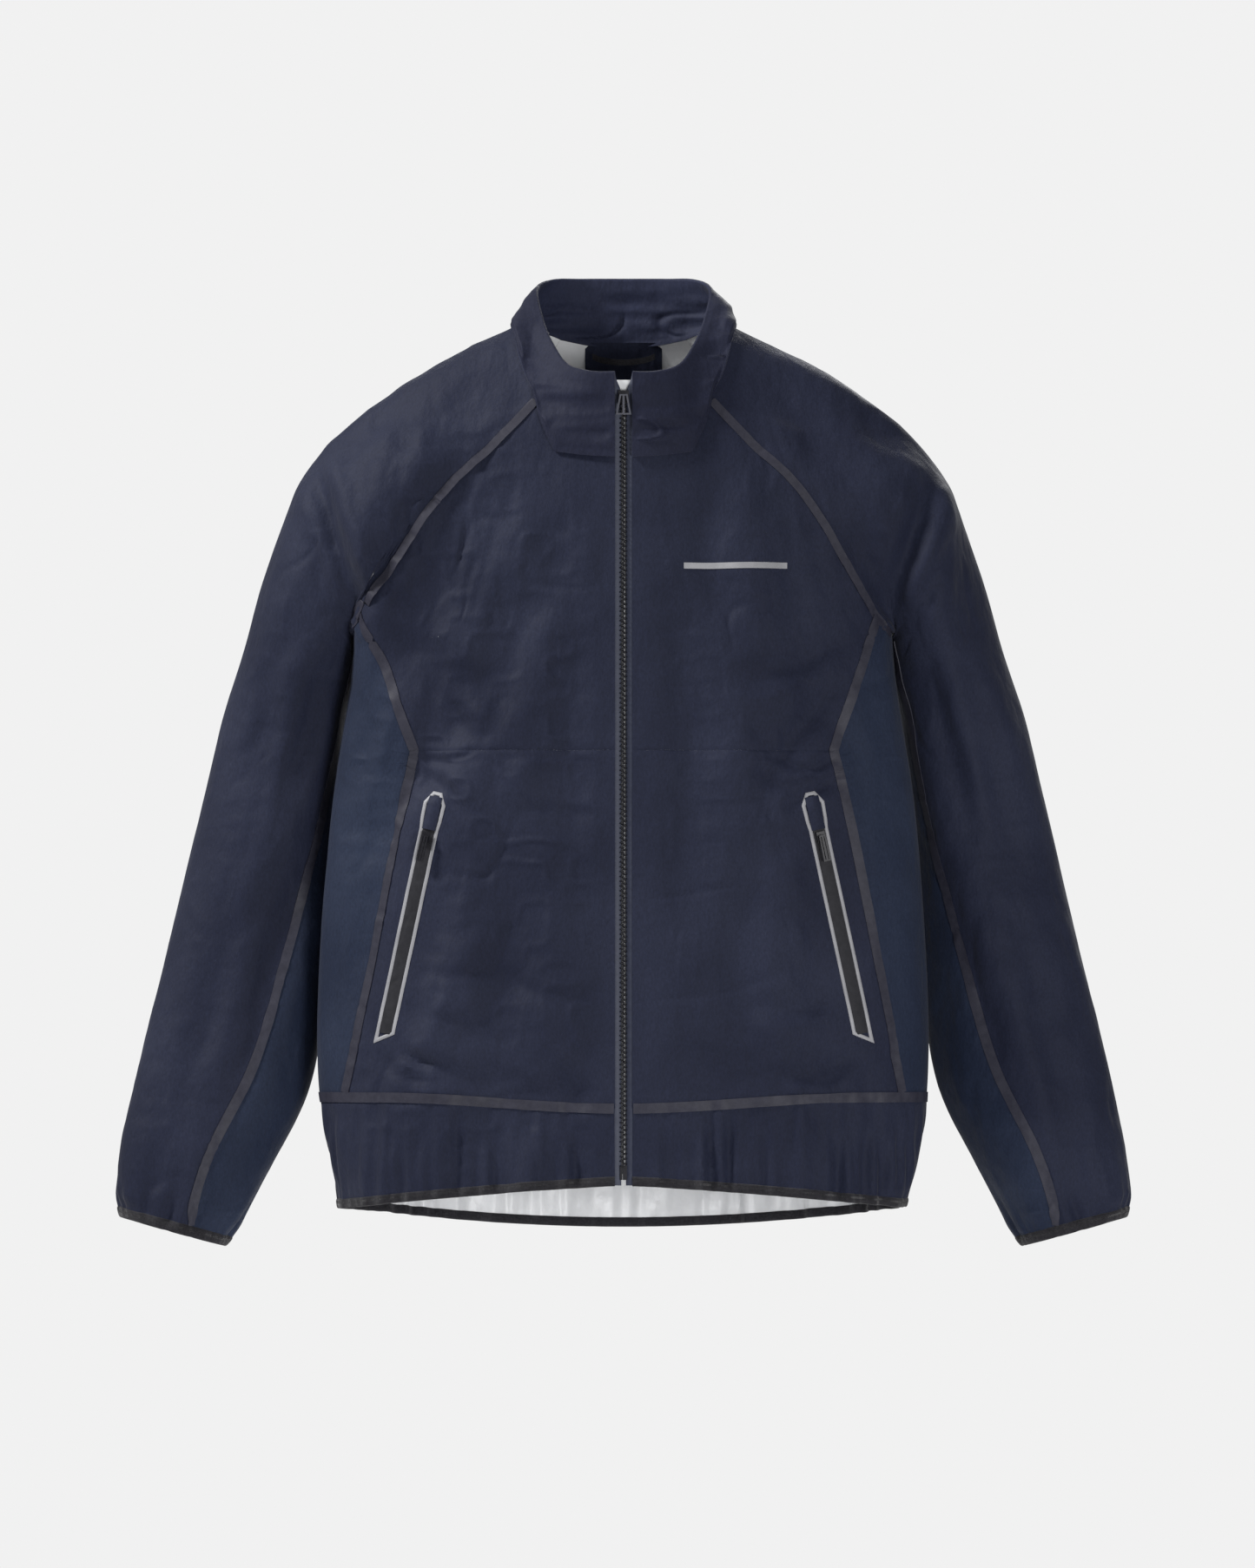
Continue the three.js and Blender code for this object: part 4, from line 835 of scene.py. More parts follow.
def shell(name, rgb, spread=5):
    """Laminated shell cloth: woven face, slight mottling, fine crinkle."""
    f = Finish(name, 0.7, 0.16, sheen=0.04)
    dark = linear(*(v - spread for v in rgb))
    light = linear(*(v + spread for v in rgb))
    broad = f.between(f.noise(9, 2), 0.35, 0.68, dark, light)
    grain = f.between(f.noise(620, 2, (1, 1, 0.55)), 0.3, 0.72, (0.84, 0.84, 0.85, 1), (1.16, 1.16, 1.15, 1))
    f.colour(f.blended(1.0, broad, grain, "MULTIPLY"))
    f.relief(f.wave(1500, "X"), 0.00003, 0.5)
    f.relief(f.wave(1500, "Y"), 0.00003, 0.5)
    f.relief(f.noise(150, 3, (1, 1, 0.6)), 0.0012, 0.5)
    f.relief(f.noise(48, 4, (1, 1, 0.5)), 0.0045, 0.55)
    return f.material


SHELL = shell("shell_cloth", (28, 32, 50))
STRETCH = shell("stretch_cloth", (29, 37, 56))
COLLAR_CLOTH = shell("collar_cloth", (26, 29, 47))
# The inside of the collar is the same shell cloth, in a copy painted lighter to offset the shade that falls
# inside the collar.
INNER_COLLAR_PAINTED_LIGHTER = shell("inner_collar_cloth", (36, 40, 60))


def film(name, rgb, rough, specular=0.5, metal=0.0, height=0.0009, spread=9):
    """A smooth coated film with a broken, creased shine."""
    f = Finish(name, rough, specular, metal)
    tone = f.between(f.noise(55, 3), 0.3, 0.7, linear(*(v - spread for v in rgb)), linear(*rgb))
    f.colour(tone)
    f.relief(f.noise(70, 3), height, 0.6)
    f.relief(f.noise(700, 1), 0.00004, 0.4)
    return f.material


LINING = film("pale_film", (226, 227, 229), 0.36, 0.55, height=0.0022)
SILVER = film("reflective_film", (150, 150, 154), 0.55, 0.35, 0.1, height=0.0002, spread=16)


def bonded(name, rgb, rough=0.55):
    """Bonded polyurethane tape: smooth, with a faint pressed grid."""
    f = Finish(name, rough, 0.25)
    dark, light = linear(*(v - 4 for v in rgb)), linear(*(v + 4 for v in rgb))
    f.colour(f.between(f.noise(220, 2), 0.3, 0.7, dark, light))
    f.relief(f.wave(900, "X"), 0.00003, 0.4)
    f.relief(f.wave(900, "Y"), 0.00003, 0.4)
    return f.material


TAPE = bonded("bonded_tape", (43, 43, 54))
ZIP_TAPE = bonded("zip_tape_cloth", (56, 60, 76), 0.5)
POCKET_ZIP = bonded("welded_zip_cloth", (31, 31, 36), 0.66)


def knitted(name, rgb):
    """Ribbed elastic binding: fine ribs along its length."""
    f = Finish(name, 0.85, 0.25, sheen=0.15)
    tone = f.between(f.noise(500, 2), 0.3, 0.7, linear(*(v - 7 for v in rgb)), linear(*(v + 7 for v in rgb)))
    f.colour(tone)
    f.relief(f.wave(760, "Y"), 0.00012, 0.8)
    f.relief(f.wave(420, "X"), 0.00006, 0.6)
    return f.material


BINDING = knitted("elastic_binding_cloth", (28, 27, 32))


def moulded(name, rgb, rough, specular=0.5):
    """Moulded zip plastic: a fine spark-eroded grain and slightly worn tone."""
    f = Finish(name, rough, specular)
    dark, light = linear(*(v - 5 for v in rgb)), linear(*(v + 6 for v in rgb))
    f.colour(f.between(f.noise(300, 2), 0.3, 0.7, dark, light))
    f.relief(f.noise(2600, 1), 0.00003, 0.5)
    return f.material


PLASTIC = moulded("zip_plastic", (21, 21, 27), 0.42, 0.3)
PULL_FINISH = moulded("pull_plastic", (62, 63, 72), 0.36, 0.6)
FLOOR = Finish("floor_paint", 0.9, 0.1)
FLOOR.colour(FLOOR.between(FLOOR.noise(3, 2), 0.3, 0.7, (0.80, 0.80, 0.805, 1), (0.82, 0.82, 0.825, 1)))
floor.data.materials.append(FLOOR.material)
print(len(bpy.data.materials), "materials")

# %% [markdown]
# ## Body panels
# A panel is stretched between its four seam lines. Two rulings, one each way, are added and the corners'
# share taken off, which is how a drawn outline becomes a smooth sheet. The side panels are stretch cloth.

# %% Body panels
SEAM_INSET = 0.03


def length_of(line):
    """The length of a line of points."""
    p = body_point(line(np.linspace(0, 1, 40)))
    return float(np.linalg.norm(np.diff(p, axis=0), axis=-1).sum())


def patch(bottom, top, start, end):
    """Angle and height on the body between four edges, just short of the seams."""
    inset_u = SEAM_INSET / min(length_of(bottom), length_of(top))
    inset_v = SEAM_INSET / min(length_of(start), length_of(end))

    def at(u, v):
        u, v = lerp(inset_u, 1 - inset_u, u), lerp(inset_v, 1 - inset_v, v)
        uu, vv = u[..., None], v[..., None]
        one, none = np.ones(1), np.zeros(1)
        ruled = lerp(bottom(u), top(u), vv) + lerp(start(v), end(v), uu)
        low = lerp(bottom(none), bottom(one), uu)
        high = lerp(top(none), top(one), uu)
        return ruled - lerp(low, high, vv)

    return at


def declare(obj, body=None, gather=1.0):
    """Gives a cloth piece its flat size, taken from its own outer face, and ties it to a body when one is
    given.
    """
    obj["flat_area"] = area_of(obj) * gather
    if body is not None:
        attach(obj, body)
    return obj


def body_piece(name, at, cols, rows, materials, side=RIGHT):
    """A panel of the body from a function that gives angle and height for each share across and up."""
    return cloth_from(name, lambda u, v: body_cloth(at(u, v), 0.0, side), cols, rows, materials)


def zip_edge(low, high):
    """The straight front edge between two heights."""
    return lambda t: on_front(shelf(-ZIP_HALF + 0 * t, lerp(low, high, t)))


def waist_line(t):
    """The waist seam from the zip to the side seam."""
    return on_front(shelf(lerp(-ZIP_HALF, SIDE_KINK[0], t), WAIST_Z))


def band_line(t):
    """The lower edge of the lower front panel."""
    x = lerp(-ZIP_HALF, -233, t)
    return on_front(shelf(x, band_seam_z(x)))


def over_to(line):
    """A line on the far half of the back."""
    return lambda t: line(t) * np.array([-1, 1]) + np.array([-2 * math.pi, 0])


neck_edge = joined(reversed_line(neck_front_centre), reversed_line(neck_front_lower), 0.52)
upper_top = joined(neck_edge, raglan_front, 0.34)
front_upper_at = patch(
    waist_line,
    front_edge(upper_top),
    zip_edge(WAIST_Z, NECK_CENTRE_Z),
    front_edge(reversed_line(side_seam_upper)),
)
front_lower_at = patch(
    band_line, waist_line, zip_edge(BAND_SEAM_ZIP, WAIST_Z), front_edge(reversed_line(side_seam_lower))
)
side_line = joined(side_seam_upper, side_seam_lower, 0.3)
side_front, side_back = front_edge(side_line), back_edge(back_seam)
side_top = joined(front_edge(gusset_front), back_edge(reversed_line(gusset_back)), 0.5)


def side_bottom(t):
    """The lower edge of the side panel, round the side line."""
    one = np.ones(1)
    return shelf(lerp(side_front(one)[0, 0], side_back(one)[0, 0], t), BAND_SEAM_SIDE)


side_panel_at = patch(side_top, side_bottom, side_front, side_back)


def back_bottom(t):
    """The lower edge of the back panel."""
    one = np.ones(1)
    return shelf(lerp(side_back(one)[0, 0], over_to(side_back)(one)[0, 0], t), BAND_SEAM_SIDE)


back_top_half = joined(reversed_line(back_edge(raglan_back)), back_edge(neck_back_centre), 0.68)


def back_top(t):
    """The upper edge of the back panel, along both raglan seams and the neck."""
    near = back_top_half(np.minimum(t * 2, 1))
    far = over_to(back_top_half)(np.minimum(2 - t * 2, 1))
    return np.where((t < 0.5)[..., None], near, far)


back_patch = patch(back_bottom, back_top, reversed_line(side_back), reversed_line(over_to(side_back)))

SIDES = (("right", RIGHT), ("left", LEFT))
for word, side in SIDES:
    upper = body_piece("front_upper_cloth_" + word, front_upper_at, 110, 110, [SHELL, LINING], side)
    lower = body_piece("front_lower_cloth_" + word, front_lower_at, 90, 120, [SHELL, LINING], side)
    panel = body_piece("side_panel_cloth_" + word, side_panel_at, 44, 150, [STRETCH, LINING], side)
    for piece, node in ((upper, "front_upper"), (lower, "front_lower"), (panel, "side_panel")):
        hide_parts(node + "_" + word)
        declare(piece, "torso")
back = body_piece("back_cloth", lambda u, v: back_patch(u, 1 - (1 - v) ** 1.9), 190, 190, [SHELL, LINING])
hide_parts("back_panel")
declare(back, "torso")
print("back panel", round(back["flat_area"], 3), "square metres")

# %% [markdown]
# ## Hem band and binding
# The hem band is a strip of shell cloth below the band seam, pulled in by the elastic binding that is folded
# over its raw edge. The binding is a full, soft edge with a fine rib, puckered where the cloth is gathered.

# %% Hem
def hem_z(angle):
    """The height of the hem round the body: higher at the front, lower at the back."""
    x = half_width(np.full_like(angle, HEM_Z)) * np.sin(angle)
    share = np.minimum(np.abs(x) / HEM_HALF, 1)
    front, back = FRONT_HEM_RISE * (1 - share**1.3), -BACK_HEM_DROP * (1 - share**2)
    return HEM_Z + np.where(np.cos(angle) >= 0, front, back)


def band_top_z(angle):
    """The height of the seam above the hem band, round the body."""
    x = half_width(np.full_like(angle, BAND_SEAM_SIDE)) * np.sin(angle)
    return np.where(np.cos(angle) >= 0, band_seam_z(x), BAND_SEAM_SIDE)


BAND_FULLNESS = 1.12  # the band's flat length over its gathered length
ZIP_ANGLE_AT_HEM = float(on_front(np.array([-ZIP_HALF - 0.5, BAND_SEAM_ZIP]))[0])
SIDE_ANGLE = -math.pi / 2


def hem_band(from_angle, to_angle):
    """A stretch of the hem band between two angles, from the middle of the binding up to the band seam."""

    def at(u, v):
        angle = lerp(from_angle, to_angle, u)
        low = hem_z(angle) + BINDING_HEIGHT * 0.5
        return shelf(angle, lerp(low, band_top_z(angle) - SEAM_INSET, v))

    return at


for word, side in SIDES:
    front_band = hem_band(ZIP_ANGLE_AT_HEM, SIDE_ANGLE + 0.001)
    band = body_piece("hem_band_cloth_" + word, front_band, 150, 34, [SHELL, LINING], side)
    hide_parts("hem_band_" + word)
    declare(band, "torso", BAND_FULLNESS)
back_band = hem_band(SIDE_ANGLE - 0.001, -1.5 * math.pi + 0.001)
band = body_piece("hem_band_back_cloth", back_band, 300, 40, [SHELL, LINING])
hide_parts("hem_band_back")
declare(band, "torso", BAND_FULLNESS)


def binding_ring(edge, cols, height, fat, loop, name, pucker_seed):
    """A folded edge: a flattened round section carried along an edge that gives points, normals and downs."""
    u = np.linspace(0, 1, cols + 1)[: cols if loop else None]
    p, n, down = edge(u)
    around = np.linspace(0, 2 * math.pi, 21)[:-1]
    c, s = np.cos(around), np.sin(around)
    c = np.sign(c) * np.abs(c) ** 0.7
    s = np.sign(s) * np.abs(s) ** 0.7
    pucker = Lattice(pucker_seed)(p, (3.4, 3.4, 3.4))[:, None] * 0.22
    section = n[:, None] * ((c * fat / 2)[None] * (1 + pucker))[..., None]
    section = section + down[:, None] * (s * height / 2)[None, :, None]
    points = p[:, None] + section
    rows, per = points.shape[:2]
    i, j = np.meshgrid(np.arange(rows if loop else rows - 1), np.arange(per))
    a, b = i * per + j, ((i + 1) % rows) * per + j
    c2, d = ((i + 1) % rows) * per + (j + 1) % per, i * per + (j + 1) % per
    quads = np.stack([a, b, c2, d], -1).reshape(-1, 4)
    flat = points.reshape(-1, 3)
    along_m = np.concatenate([[0], np.cumsum(np.linalg.norm(np.diff(p, axis=0), axis=-1))]) * MM
    uv = np.stack(np.broadcast_arrays(along_m[:, None], (around * height / 2 * MM)[None]), -1).reshape(-1, 2)
    if not loop:
        ends = []
        for first in (0, (rows - 1) * per):
            k = first + np.arange(per)
            for m in range(per // 2 - 1):
                ends.append([k[m], k[m + 1], k[per - 2 - m], k[per - 1 - m]])
        quads = np.concatenate([quads, fixed_ends(np.array(ends))])
    a, b, c, d = np.moveaxis(flat[quads], 1, 0)
    if np.sum(a * (np.cross(b, c) + np.cross(c, d))) < 0:
        quads = quads[:, ::-1]
    return new_object(name, flat, quads, [BINDING], None, uv)


def fixed_ends(ends):
    """End faces of an open section, the first end turned round so that both face outwards."""
    half = len(ends) // 2
    first, last = ends[:half], ends[half:]
    return np.concatenate([first, last[:, ::-1]])


def hem_edge(u):
    """The hem from zip to zip round the back: places, outward directions and downward directions."""
    angle = lerp(ZIP_ANGLE_AT_HEM, -2 * math.pi - ZIP_ANGLE_AT_HEM, u)
    at = shelf(angle, hem_z(angle) + BINDING_HEIGHT / 2)
    p, n = body_cloth(at)
    low, _ = body_cloth(at - np.array([0, 2.0]))
    return p - n * 0.6, n, unit(low - p)


hem_binding = binding_ring(hem_edge, 560, BINDING_HEIGHT, 3.4, False, "hem_binding_elastic", 71)
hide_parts("hem_binding")
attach(hem_binding, "torso")
print("hem pieces made")

# %% [markdown]
# ## Sleeves
# Each sleeve is one grid that runs from the raglan seam to the cuff, with its columns laid along the two
# sleeve seams. The columns between the seams under the arm are the stretch panel, and the rest is shell
# cloth without a break at the shoulder.

# %% Sleeves
MAIN_COLS, UNDER_COLS = 112, 44
HEAD_ROWS, TUBE_ROWS = 62, 190


def bend_with_arm(obj, word, side):
    """Bakes the piece's placement into its points, and nothing more."""
    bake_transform(obj)


def sleeve_grid():
    """Turn and place for each column and row, with the columns laid along the seams."""
    head = np.linspace(-1, 0, HEAD_ROWS + 1)[:-1]
    head = -1 + (head + 1) * 0.999 + 0.001
    along = np.concatenate([head, np.linspace(0, 1, TUBE_ROWS + 1)])
    tube = np.maximum(along, 0)
    front, rear = front_seam_turn(tube), back_seam_turn(tube)
    main = np.linspace(0, 1, MAIN_COLS + 1)[:-1]
    under = np.linspace(0, 1, UNDER_COLS + 1)[:-1]
    turns = np.concatenate(
        [
            lerp(front[:, None], rear[:, None] - 1, main[None]),
            lerp(rear[:, None] - 1, front[:, None] - 1, under[None]),
        ],
        1,
    )
    return shelf(turns, along[:, None])


def sleeve_pieces(word, side):
    """The main sleeve with its head, and the stretch panel under the arm, cut from one grid."""
    at = sleeve_grid()
    outer, n = sleeve_cloth(at, 0.0, side)
    rows, cols = outer.shape[:2]
    inner = outer - n * CLOTH_THICKNESS
    uv = arc_uv(outer)
    quads = grid_quads(rows, cols, loop=True)
    row, col = quads[:, 0] // cols, quads[:, 0] % cols
    under = (row >= HEAD_ROWS) & (col >= MAIN_COLS)
    flat_o, flat_i = outer.reshape(-1, 3), inner.reshape(-1, 3)
    main = thick_cloth("sleeve_cloth_" + word, flat_o, flat_i, quads[~under], [SHELL, LINING], uv)
    low = thick_cloth("under_sleeve_cloth_" + word, flat_o, flat_i, quads[under], [STRETCH, LINING], uv)
    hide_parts("sleeve_head_" + word, "sleeve_main_" + word)
    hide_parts("sleeve_under_" + word)
    for piece, slot in ((main, "shell_navy"), (low, "stretch_navy")):
        bend_with_arm(piece, word, side)
        declare(piece)


def cuff_edge(side):
    """The sleeve's end: places, outward directions and directions along the arm."""
    outer, inner, y, depth = CUFF_END[0:2], CUFF_END[2:4], CUFF_END[4], CUFF_END[5]

    def edge(u):
        turn = 1 - u
        angle = turn * 2 * math.pi
        across = ((1 + np.cos(angle)) / 2)[:, None]
        xz = lerp(np.array(inner, float), np.array(outer, float), across)
        low = on_side(np.stack([xz[:, 0], y - depth * np.sin(angle), xz[:, 1]], -1), side)
        top, n = sleeve_cloth(shelf(turn, 1 + 0 * turn), 0.0, side)
        middle = lerp(top, low, 0.5)
        return middle - n * 0.6, n, unit(low - top)

    return edge


for word, side in SIDES:
    sleeve_pieces(word, side)
    cuff_name = "cuff_binding_elastic_" + word
    cuff = binding_ring(cuff_edge(side), 220, BINDING_HEIGHT + 1.5, 3.4, True, cuff_name, 73)
    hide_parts("cuff_binding_" + word)
    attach(cuff, "sleeve_" + word)
print("sleeves made")

# %% [markdown]
# ## Bonded seam tapes
# Narrow films are welded over the seams from outside. They lie on the folded cloth and move with it, a
# fraction of a millimetre proud, which is what gives the jacket its drawn outlines.

# %% Tapes
TAPE_WIDTH = 8.4
TAPE_FACE, TAPE_FOOT, RAGLAN_TAPE_FOOT = 0.85, 0.09, 0.1  # heights of its faces over the cloth
RAGLAN_TAPE_WIDTH = 8.4
RAGLAN_TAPE_ON_BODY = 0.8  # the share of its width that lies on the body


def tape(name, node, surface, centre, steps):
    """A strip along a centre line on a folded surface. surface(at) gives points and normals."""
    line = centre(np.linspace(0, 1, steps + 1))
    p, n = surface(line)
    ahead = unit(np.gradient(p, axis=0))
    side_way = unit(np.cross(n, ahead))
    eps_a, eps_b = np.array([0.004, 0.0]), np.array([0.0, 1.0 if surface.flat else 0.004])
    pa, pb = surface(line + eps_a)[0] - p, surface(line + eps_b)[0] - p
    # The step in the surface's own pair that moves one millimetre sideways on it.
    aa, ab, bb = np.sum(pa * pa, -1), np.sum(pa * pb, -1), np.sum(pb * pb, -1)
    ra, rb = np.sum(pa * side_way, -1), np.sum(pb * side_way, -1)
    det = aa * bb - ab * ab
    ka, kb = (ra * bb - rb * ab) / det, (rb * aa - ra * ab) / det
    step = ka[:, None] * eps_a + kb[:, None] * eps_b
    v = np.linspace(-TAPE_WIDTH / 2, TAPE_WIDTH / 2, 5)
    at = line[None] + v[:, None, None] * step[None]
    q, m = surface(at)
    outer, inner = q + m * TAPE_FACE, q + m * TAPE_FOOT
    obj = one_finish(name, outer, inner, TAPE)
    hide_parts(node)
    return obj


class Surface:
    """A folded surface on one side of the jacket, called with its own pairs of numbers."""

    def __init__(self, cloth, side, flat):
        self.cloth, self.side, self.flat = cloth, side, flat

    def __call__(self, at):
        """Points and normals at its own pairs of numbers."""
        return self.cloth(at, 0.0, self.side)


def finish_tape(obj, body):
    """Ties a tape to the body that it moves with, or, for a sleeve tape, only bakes its placement."""
    if isinstance(body, str):
        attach(obj, body)
    else:
        bend_with_arm(obj, *body)


def share_of(line, start, end):
    """The stretch of a line between two shares of its length."""
    return lambda t: line(lerp(start, end, t))


def raglan_tape(name, node, side, from_turn, to_turn, steps):
    """A tape over the raglan seam: most of its width lies on the body and the rest on the sleeve head."""
    turn = lerp(from_turn, to_turn, np.linspace(0, 1, steps + 1))
    line = raglan_loop(turn)
    at = shelf(turn, -1.0)
    start, n = body_cloth(line, 0.0, side)
    up_sleeve = (sleeve_cloth(at + np.array([0, 0.004]), 0.0, side)[0] - start) / 0.004
    reach = np.linalg.norm(up_sleeve, axis=-1)
    ahead = unit(np.gradient(start, axis=0))
    off_body = unit(np.cross(n, ahead))
    off_body = -off_body * np.sign(np.sum(off_body * up_sleeve, -1))[:, None]
    layers = []
    for v in RAGLAN_TAPE_WIDTH * (np.linspace(0, 1, 8) - RAGLAN_TAPE_ON_BODY):
        if v > 0:
            q, m = sleeve_cloth(at + np.stack([0 * reach, v / reach], -1), 0.0, side)
        else:
            q, m = start + off_body * -v, n
        layers.append((q, m))
    q, m = np.stack([q for q, _ in layers]), np.stack([m for _, m in layers])
    obj = one_finish(name, q + m * TAPE_FACE, q + m * RAGLAN_TAPE_FOOT, TAPE)
    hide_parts(node)
    return obj


NECK_END, TAIL_END = FRONT_NECK_TURN + 0.006, JUNCTION_TURN
for word, side in SIDES:
    body = Surface(body_cloth, side, True)
    sleeve = Surface(sleeve_cloth, side, False)
    for stem, start, end, steps in (
        ("raglan_tape_front_", NECK_END, TAIL_END, 170),
        ("raglan_tape_back_", 1 - NECK_END, 1 - TAIL_END, 170),
        ("gusset_tape_", TAIL_END, 1 - TAIL_END, 60),
    ):
        finish_tape(raglan_tape(stem + "film_" + word, stem + word, side, start, end, steps), "torso")
    for stem, centre, steps in (
        ("side_tape_", front_edge(share_of(side_line, 0.004, 0.996)), 260),
        ("side_tape_back_", back_edge(share_of(back_seam, 0.004, 0.996)), 220),
    ):
        finish_tape(tape(stem + "film_" + word, stem + word, body, centre, steps), "torso")
    for stem, turn_at in (("sleeve_tape_", front_seam_turn), ("sleeve_tape_back_", back_seam_turn)):
        centre = lambda t, turn_at=turn_at: shelf(turn_at(lerp(0.004, 0.998, t)), lerp(0.004, 0.998, t))
        piece = tape(stem + "film_" + word, stem + word, sleeve, centre, 300)
        finish_tape(piece, (word, side))


def band_tape_line(t):
    """The seam above the hem band, from zip to zip round the back."""
    start = float(on_front(np.array([-ZIP_HALF - 1, BAND_SEAM_ZIP]))[0])
    angle = lerp(start, -2 * math.pi - start, t)
    return shelf(angle, band_top_z(angle))


hem_tape = tape("hem_tape_film", "hem_tape", Surface(body_cloth, RIGHT, True), band_tape_line, 520)
finish_tape(hem_tape, "torso")
print("tapes made")

# %% [markdown]
# ## Collar
# The collar is a standing funnel of two plies with a folded top edge. It rises steeply at the back, leans
# open at the front and meets the zip. Short folds run round it just above the neck seam, where it is held.

# %% Collar
collar_rim = spline(
    [
        (0, 6, 58),
        (-34, 3, 58),
        (-58, -10, 57),
        (-70, -34, 48),
        (-66, -62, 24),
        (-57, -85, 2),
        (-44, -103, -15),
        (-24, -114, -20),
        (-ZIP_HALF, float(zip_y(-20)), -20),
    ]
)
FOOT_FROM, FOOT_TOP, FOOT_TO = 0.2, 0.36, 0.61  # the back, the top and the front of the shoulder
NECK_SHARES = (
    (0.0, FOOT_FROM, back_edge(reversed_line(neck_back_centre))),
    (FOOT_FROM, FOOT_TOP, back_edge(reversed_line(neck_back_line))),
    (FOOT_TOP, FOOT_TO, front_edge(neck_front_line)),
    (FOOT_TO, 0.79, front_edge(neck_front_lower)),
    (0.79, 1.0, front_edge(neck_front_centre)),
)
COLLAR_BULGE = 2.0
FOOT_SPREAD, FOOT_SPREAD_TOP = 0.035, 0.055  # shares of the sleeve head that the foot runs down
HOOP_FOLD, BOW_FOLD, LINE_FOLD = 2.5, 1.3, 2.4


def neck_seam(t):
    """The collar's foot. Over the shoulder it spreads a little way down the sleeve head."""
    out = np.zeros(t.shape + (3,))
    for low, high, line in NECK_SHARES:
        here = (t >= low) & (t <= high)
        if here.any():
            out[here] = body_point(line((t[here] - low) / (high - low)))
    shoulder = (t > FOOT_FROM) & (t < FOOT_TO)
    if shoulder.any():
        q = t[shoulder]
        back_turn = -FRONT_NECK_TURN * (FOOT_TOP - q) / (FOOT_TOP - FOOT_FROM)
        front_turn = FRONT_NECK_TURN * (q - FOOT_TOP) / (FOOT_TO - FOOT_TOP)
        turn = np.where(q < FOOT_TOP, back_turn, front_turn)
        window = np.sin(math.pi * (q - FOOT_FROM) / (FOOT_TO - FOOT_FROM)) ** 2
        spread = window * (FOOT_SPREAD + FOOT_SPREAD_TOP * np.exp(-((turn / 0.06) ** 2)))
        out[shoulder] = sleeve_point(shelf(turn, -1 + spread))
    return out


def collar_point(at):
    """The collar at pairs of place round the neck, -1 to 1 from zip to zip, and rise, 0 to 1."""
    around, rise = at[..., 0], at[..., 1]
    t = np.minimum(np.abs(around), 1)
    p = lerp(neck_seam(t), collar_rim(t), rise[..., None])
    outward = unit(np.stack([p[..., 0], p[..., 1] + 60, 0 * t], -1))
    p = p + outward * (COLLAR_BULGE * 4 * rise * (1 - rise) * (1 - t**6))[..., None]
    return p * np.stack([np.where(around > 0, -1, 1), 1 + 0 * t, 1 + 0 * t], -1)


def collar_cloth(u, v):
    """The folded collar: hoops and slanting lines above the foot, a slow bow, and a calm top edge."""
    around = lerp(-1, 1, u)
    at = shelf(around, v)
    inside = shelf(np.clip(around, -0.985, 0.985), np.clip(v, 0.02, 0.97))
    p = collar_point(at)
    n = normal_of(collar_point, inside, 0.012, 0.02)
    by_zip = smooth((1 - np.abs(around)) / 0.05) * smooth(v / 0.12)
    hoops = MIDDLE(p * np.array([0.45, 0.45, 1]) + 11, (26, 26, 11))
    hoops = hoops + 0.5 * SMALL(p * np.array([0.4, 0.4, 1]) + 70, (12, 12, 7))
    bow = BROAD(p + 9, (46, 46, 40))
    edge = 1 - smooth((v - 0.82) / 0.18)
    slant = np.stack([p[..., 0] + 0.7 * p[..., 2] * np.sign(p[..., 0]), p[..., 1], p[..., 2]], -1)
    lines = np.exp(-((MIDDLE(slant + 29, (60, 60, 17)) / 0.14) ** 2)) * smooth((0.62 - v) / 0.3)
    hoops = HOOP_FOLD * hoops * smooth((1 - v) / 0.7) * edge
    out = (hoops + BOW_FOLD * bow * edge - LINE_FOLD * lines) * by_zip
    return p + n * out[..., None], n


def collar_shell(name, depth_from, depth_to, v_low, cols, rows, materials, v_top=1.0):
    """One ply of the collar, from one depth below the outer face to another, rounded off at the rim."""
    u, v = np.meshgrid(np.linspace(0, 1, cols + 1), np.linspace(0, 1, rows + 1) ** 0.85)
    rise = lerp(v_low, v_top, v)
    p, n = collar_cloth(u, rise)
    roll = 1 - np.sqrt(np.maximum(0, 1 - np.clip((rise - 0.965) / 0.035, 0, 1) ** 2))
    middle = (depth_from + depth_to) / 2
    proud = 0.9 * smooth((0.06 - rise) / 0.06)
    outer = p - n * (lerp(depth_from, middle, roll * 0.92) - proud)[..., None]
    inner = p - n * lerp(depth_to, middle, roll * 0.92)[..., None]
    quads = grid_quads(*outer.shape[:2])
    return thick_cloth(name, outer.reshape(-1, 3), inner.reshape(-1, 3), quads, materials, arc_uv(outer))


# The first finish is the copy of the shell cloth painted lighter against the shade inside the collar.
collar = collar_shell("collar_cloth", 0.0, 3.4, -0.04, 360, 60, [INNER_COLLAR_PAINTED_LIGHTER, COLLAR_CLOTH])
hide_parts("collar_outer", "collar_inner")
declare(collar, "torso")
print("collar made")

# %% [markdown]
# ## Front zip
# The zip is a coarse moulded chain: each tooth has a stem that grips the tape and a rounded head that sits
# between two heads of the other side. The tape shows on both sides of the chain, welded to the fronts.

# %% Front zip
ZIP_ANGLE = math.atan(ZIP_LEAN)
ZIP_LENGTH = (ZIP_TOP_Z - ZIP_BOTTOM_Z) / math.cos(ZIP_ANGLE)
TAPE_PLANE = 1.6
TOOTH_PITCH = 4.0
SLIDER_TOP, PIN_HEIGHT = 14.0, 12.0


def lean(points):
    """Turns an upright zip, made at x = 0 from its top downwards, to the slope of the front edge."""
    x, y, z = points[..., 0], points[..., 1], points[..., 2]
    c, s = math.cos(ZIP_ANGLE), math.sin(ZIP_ANGLE)
    return np.stack([x, ZIP_TOP_Y + y * c + z * s, ZIP_TOP_Z - y * s + z * c], -1)


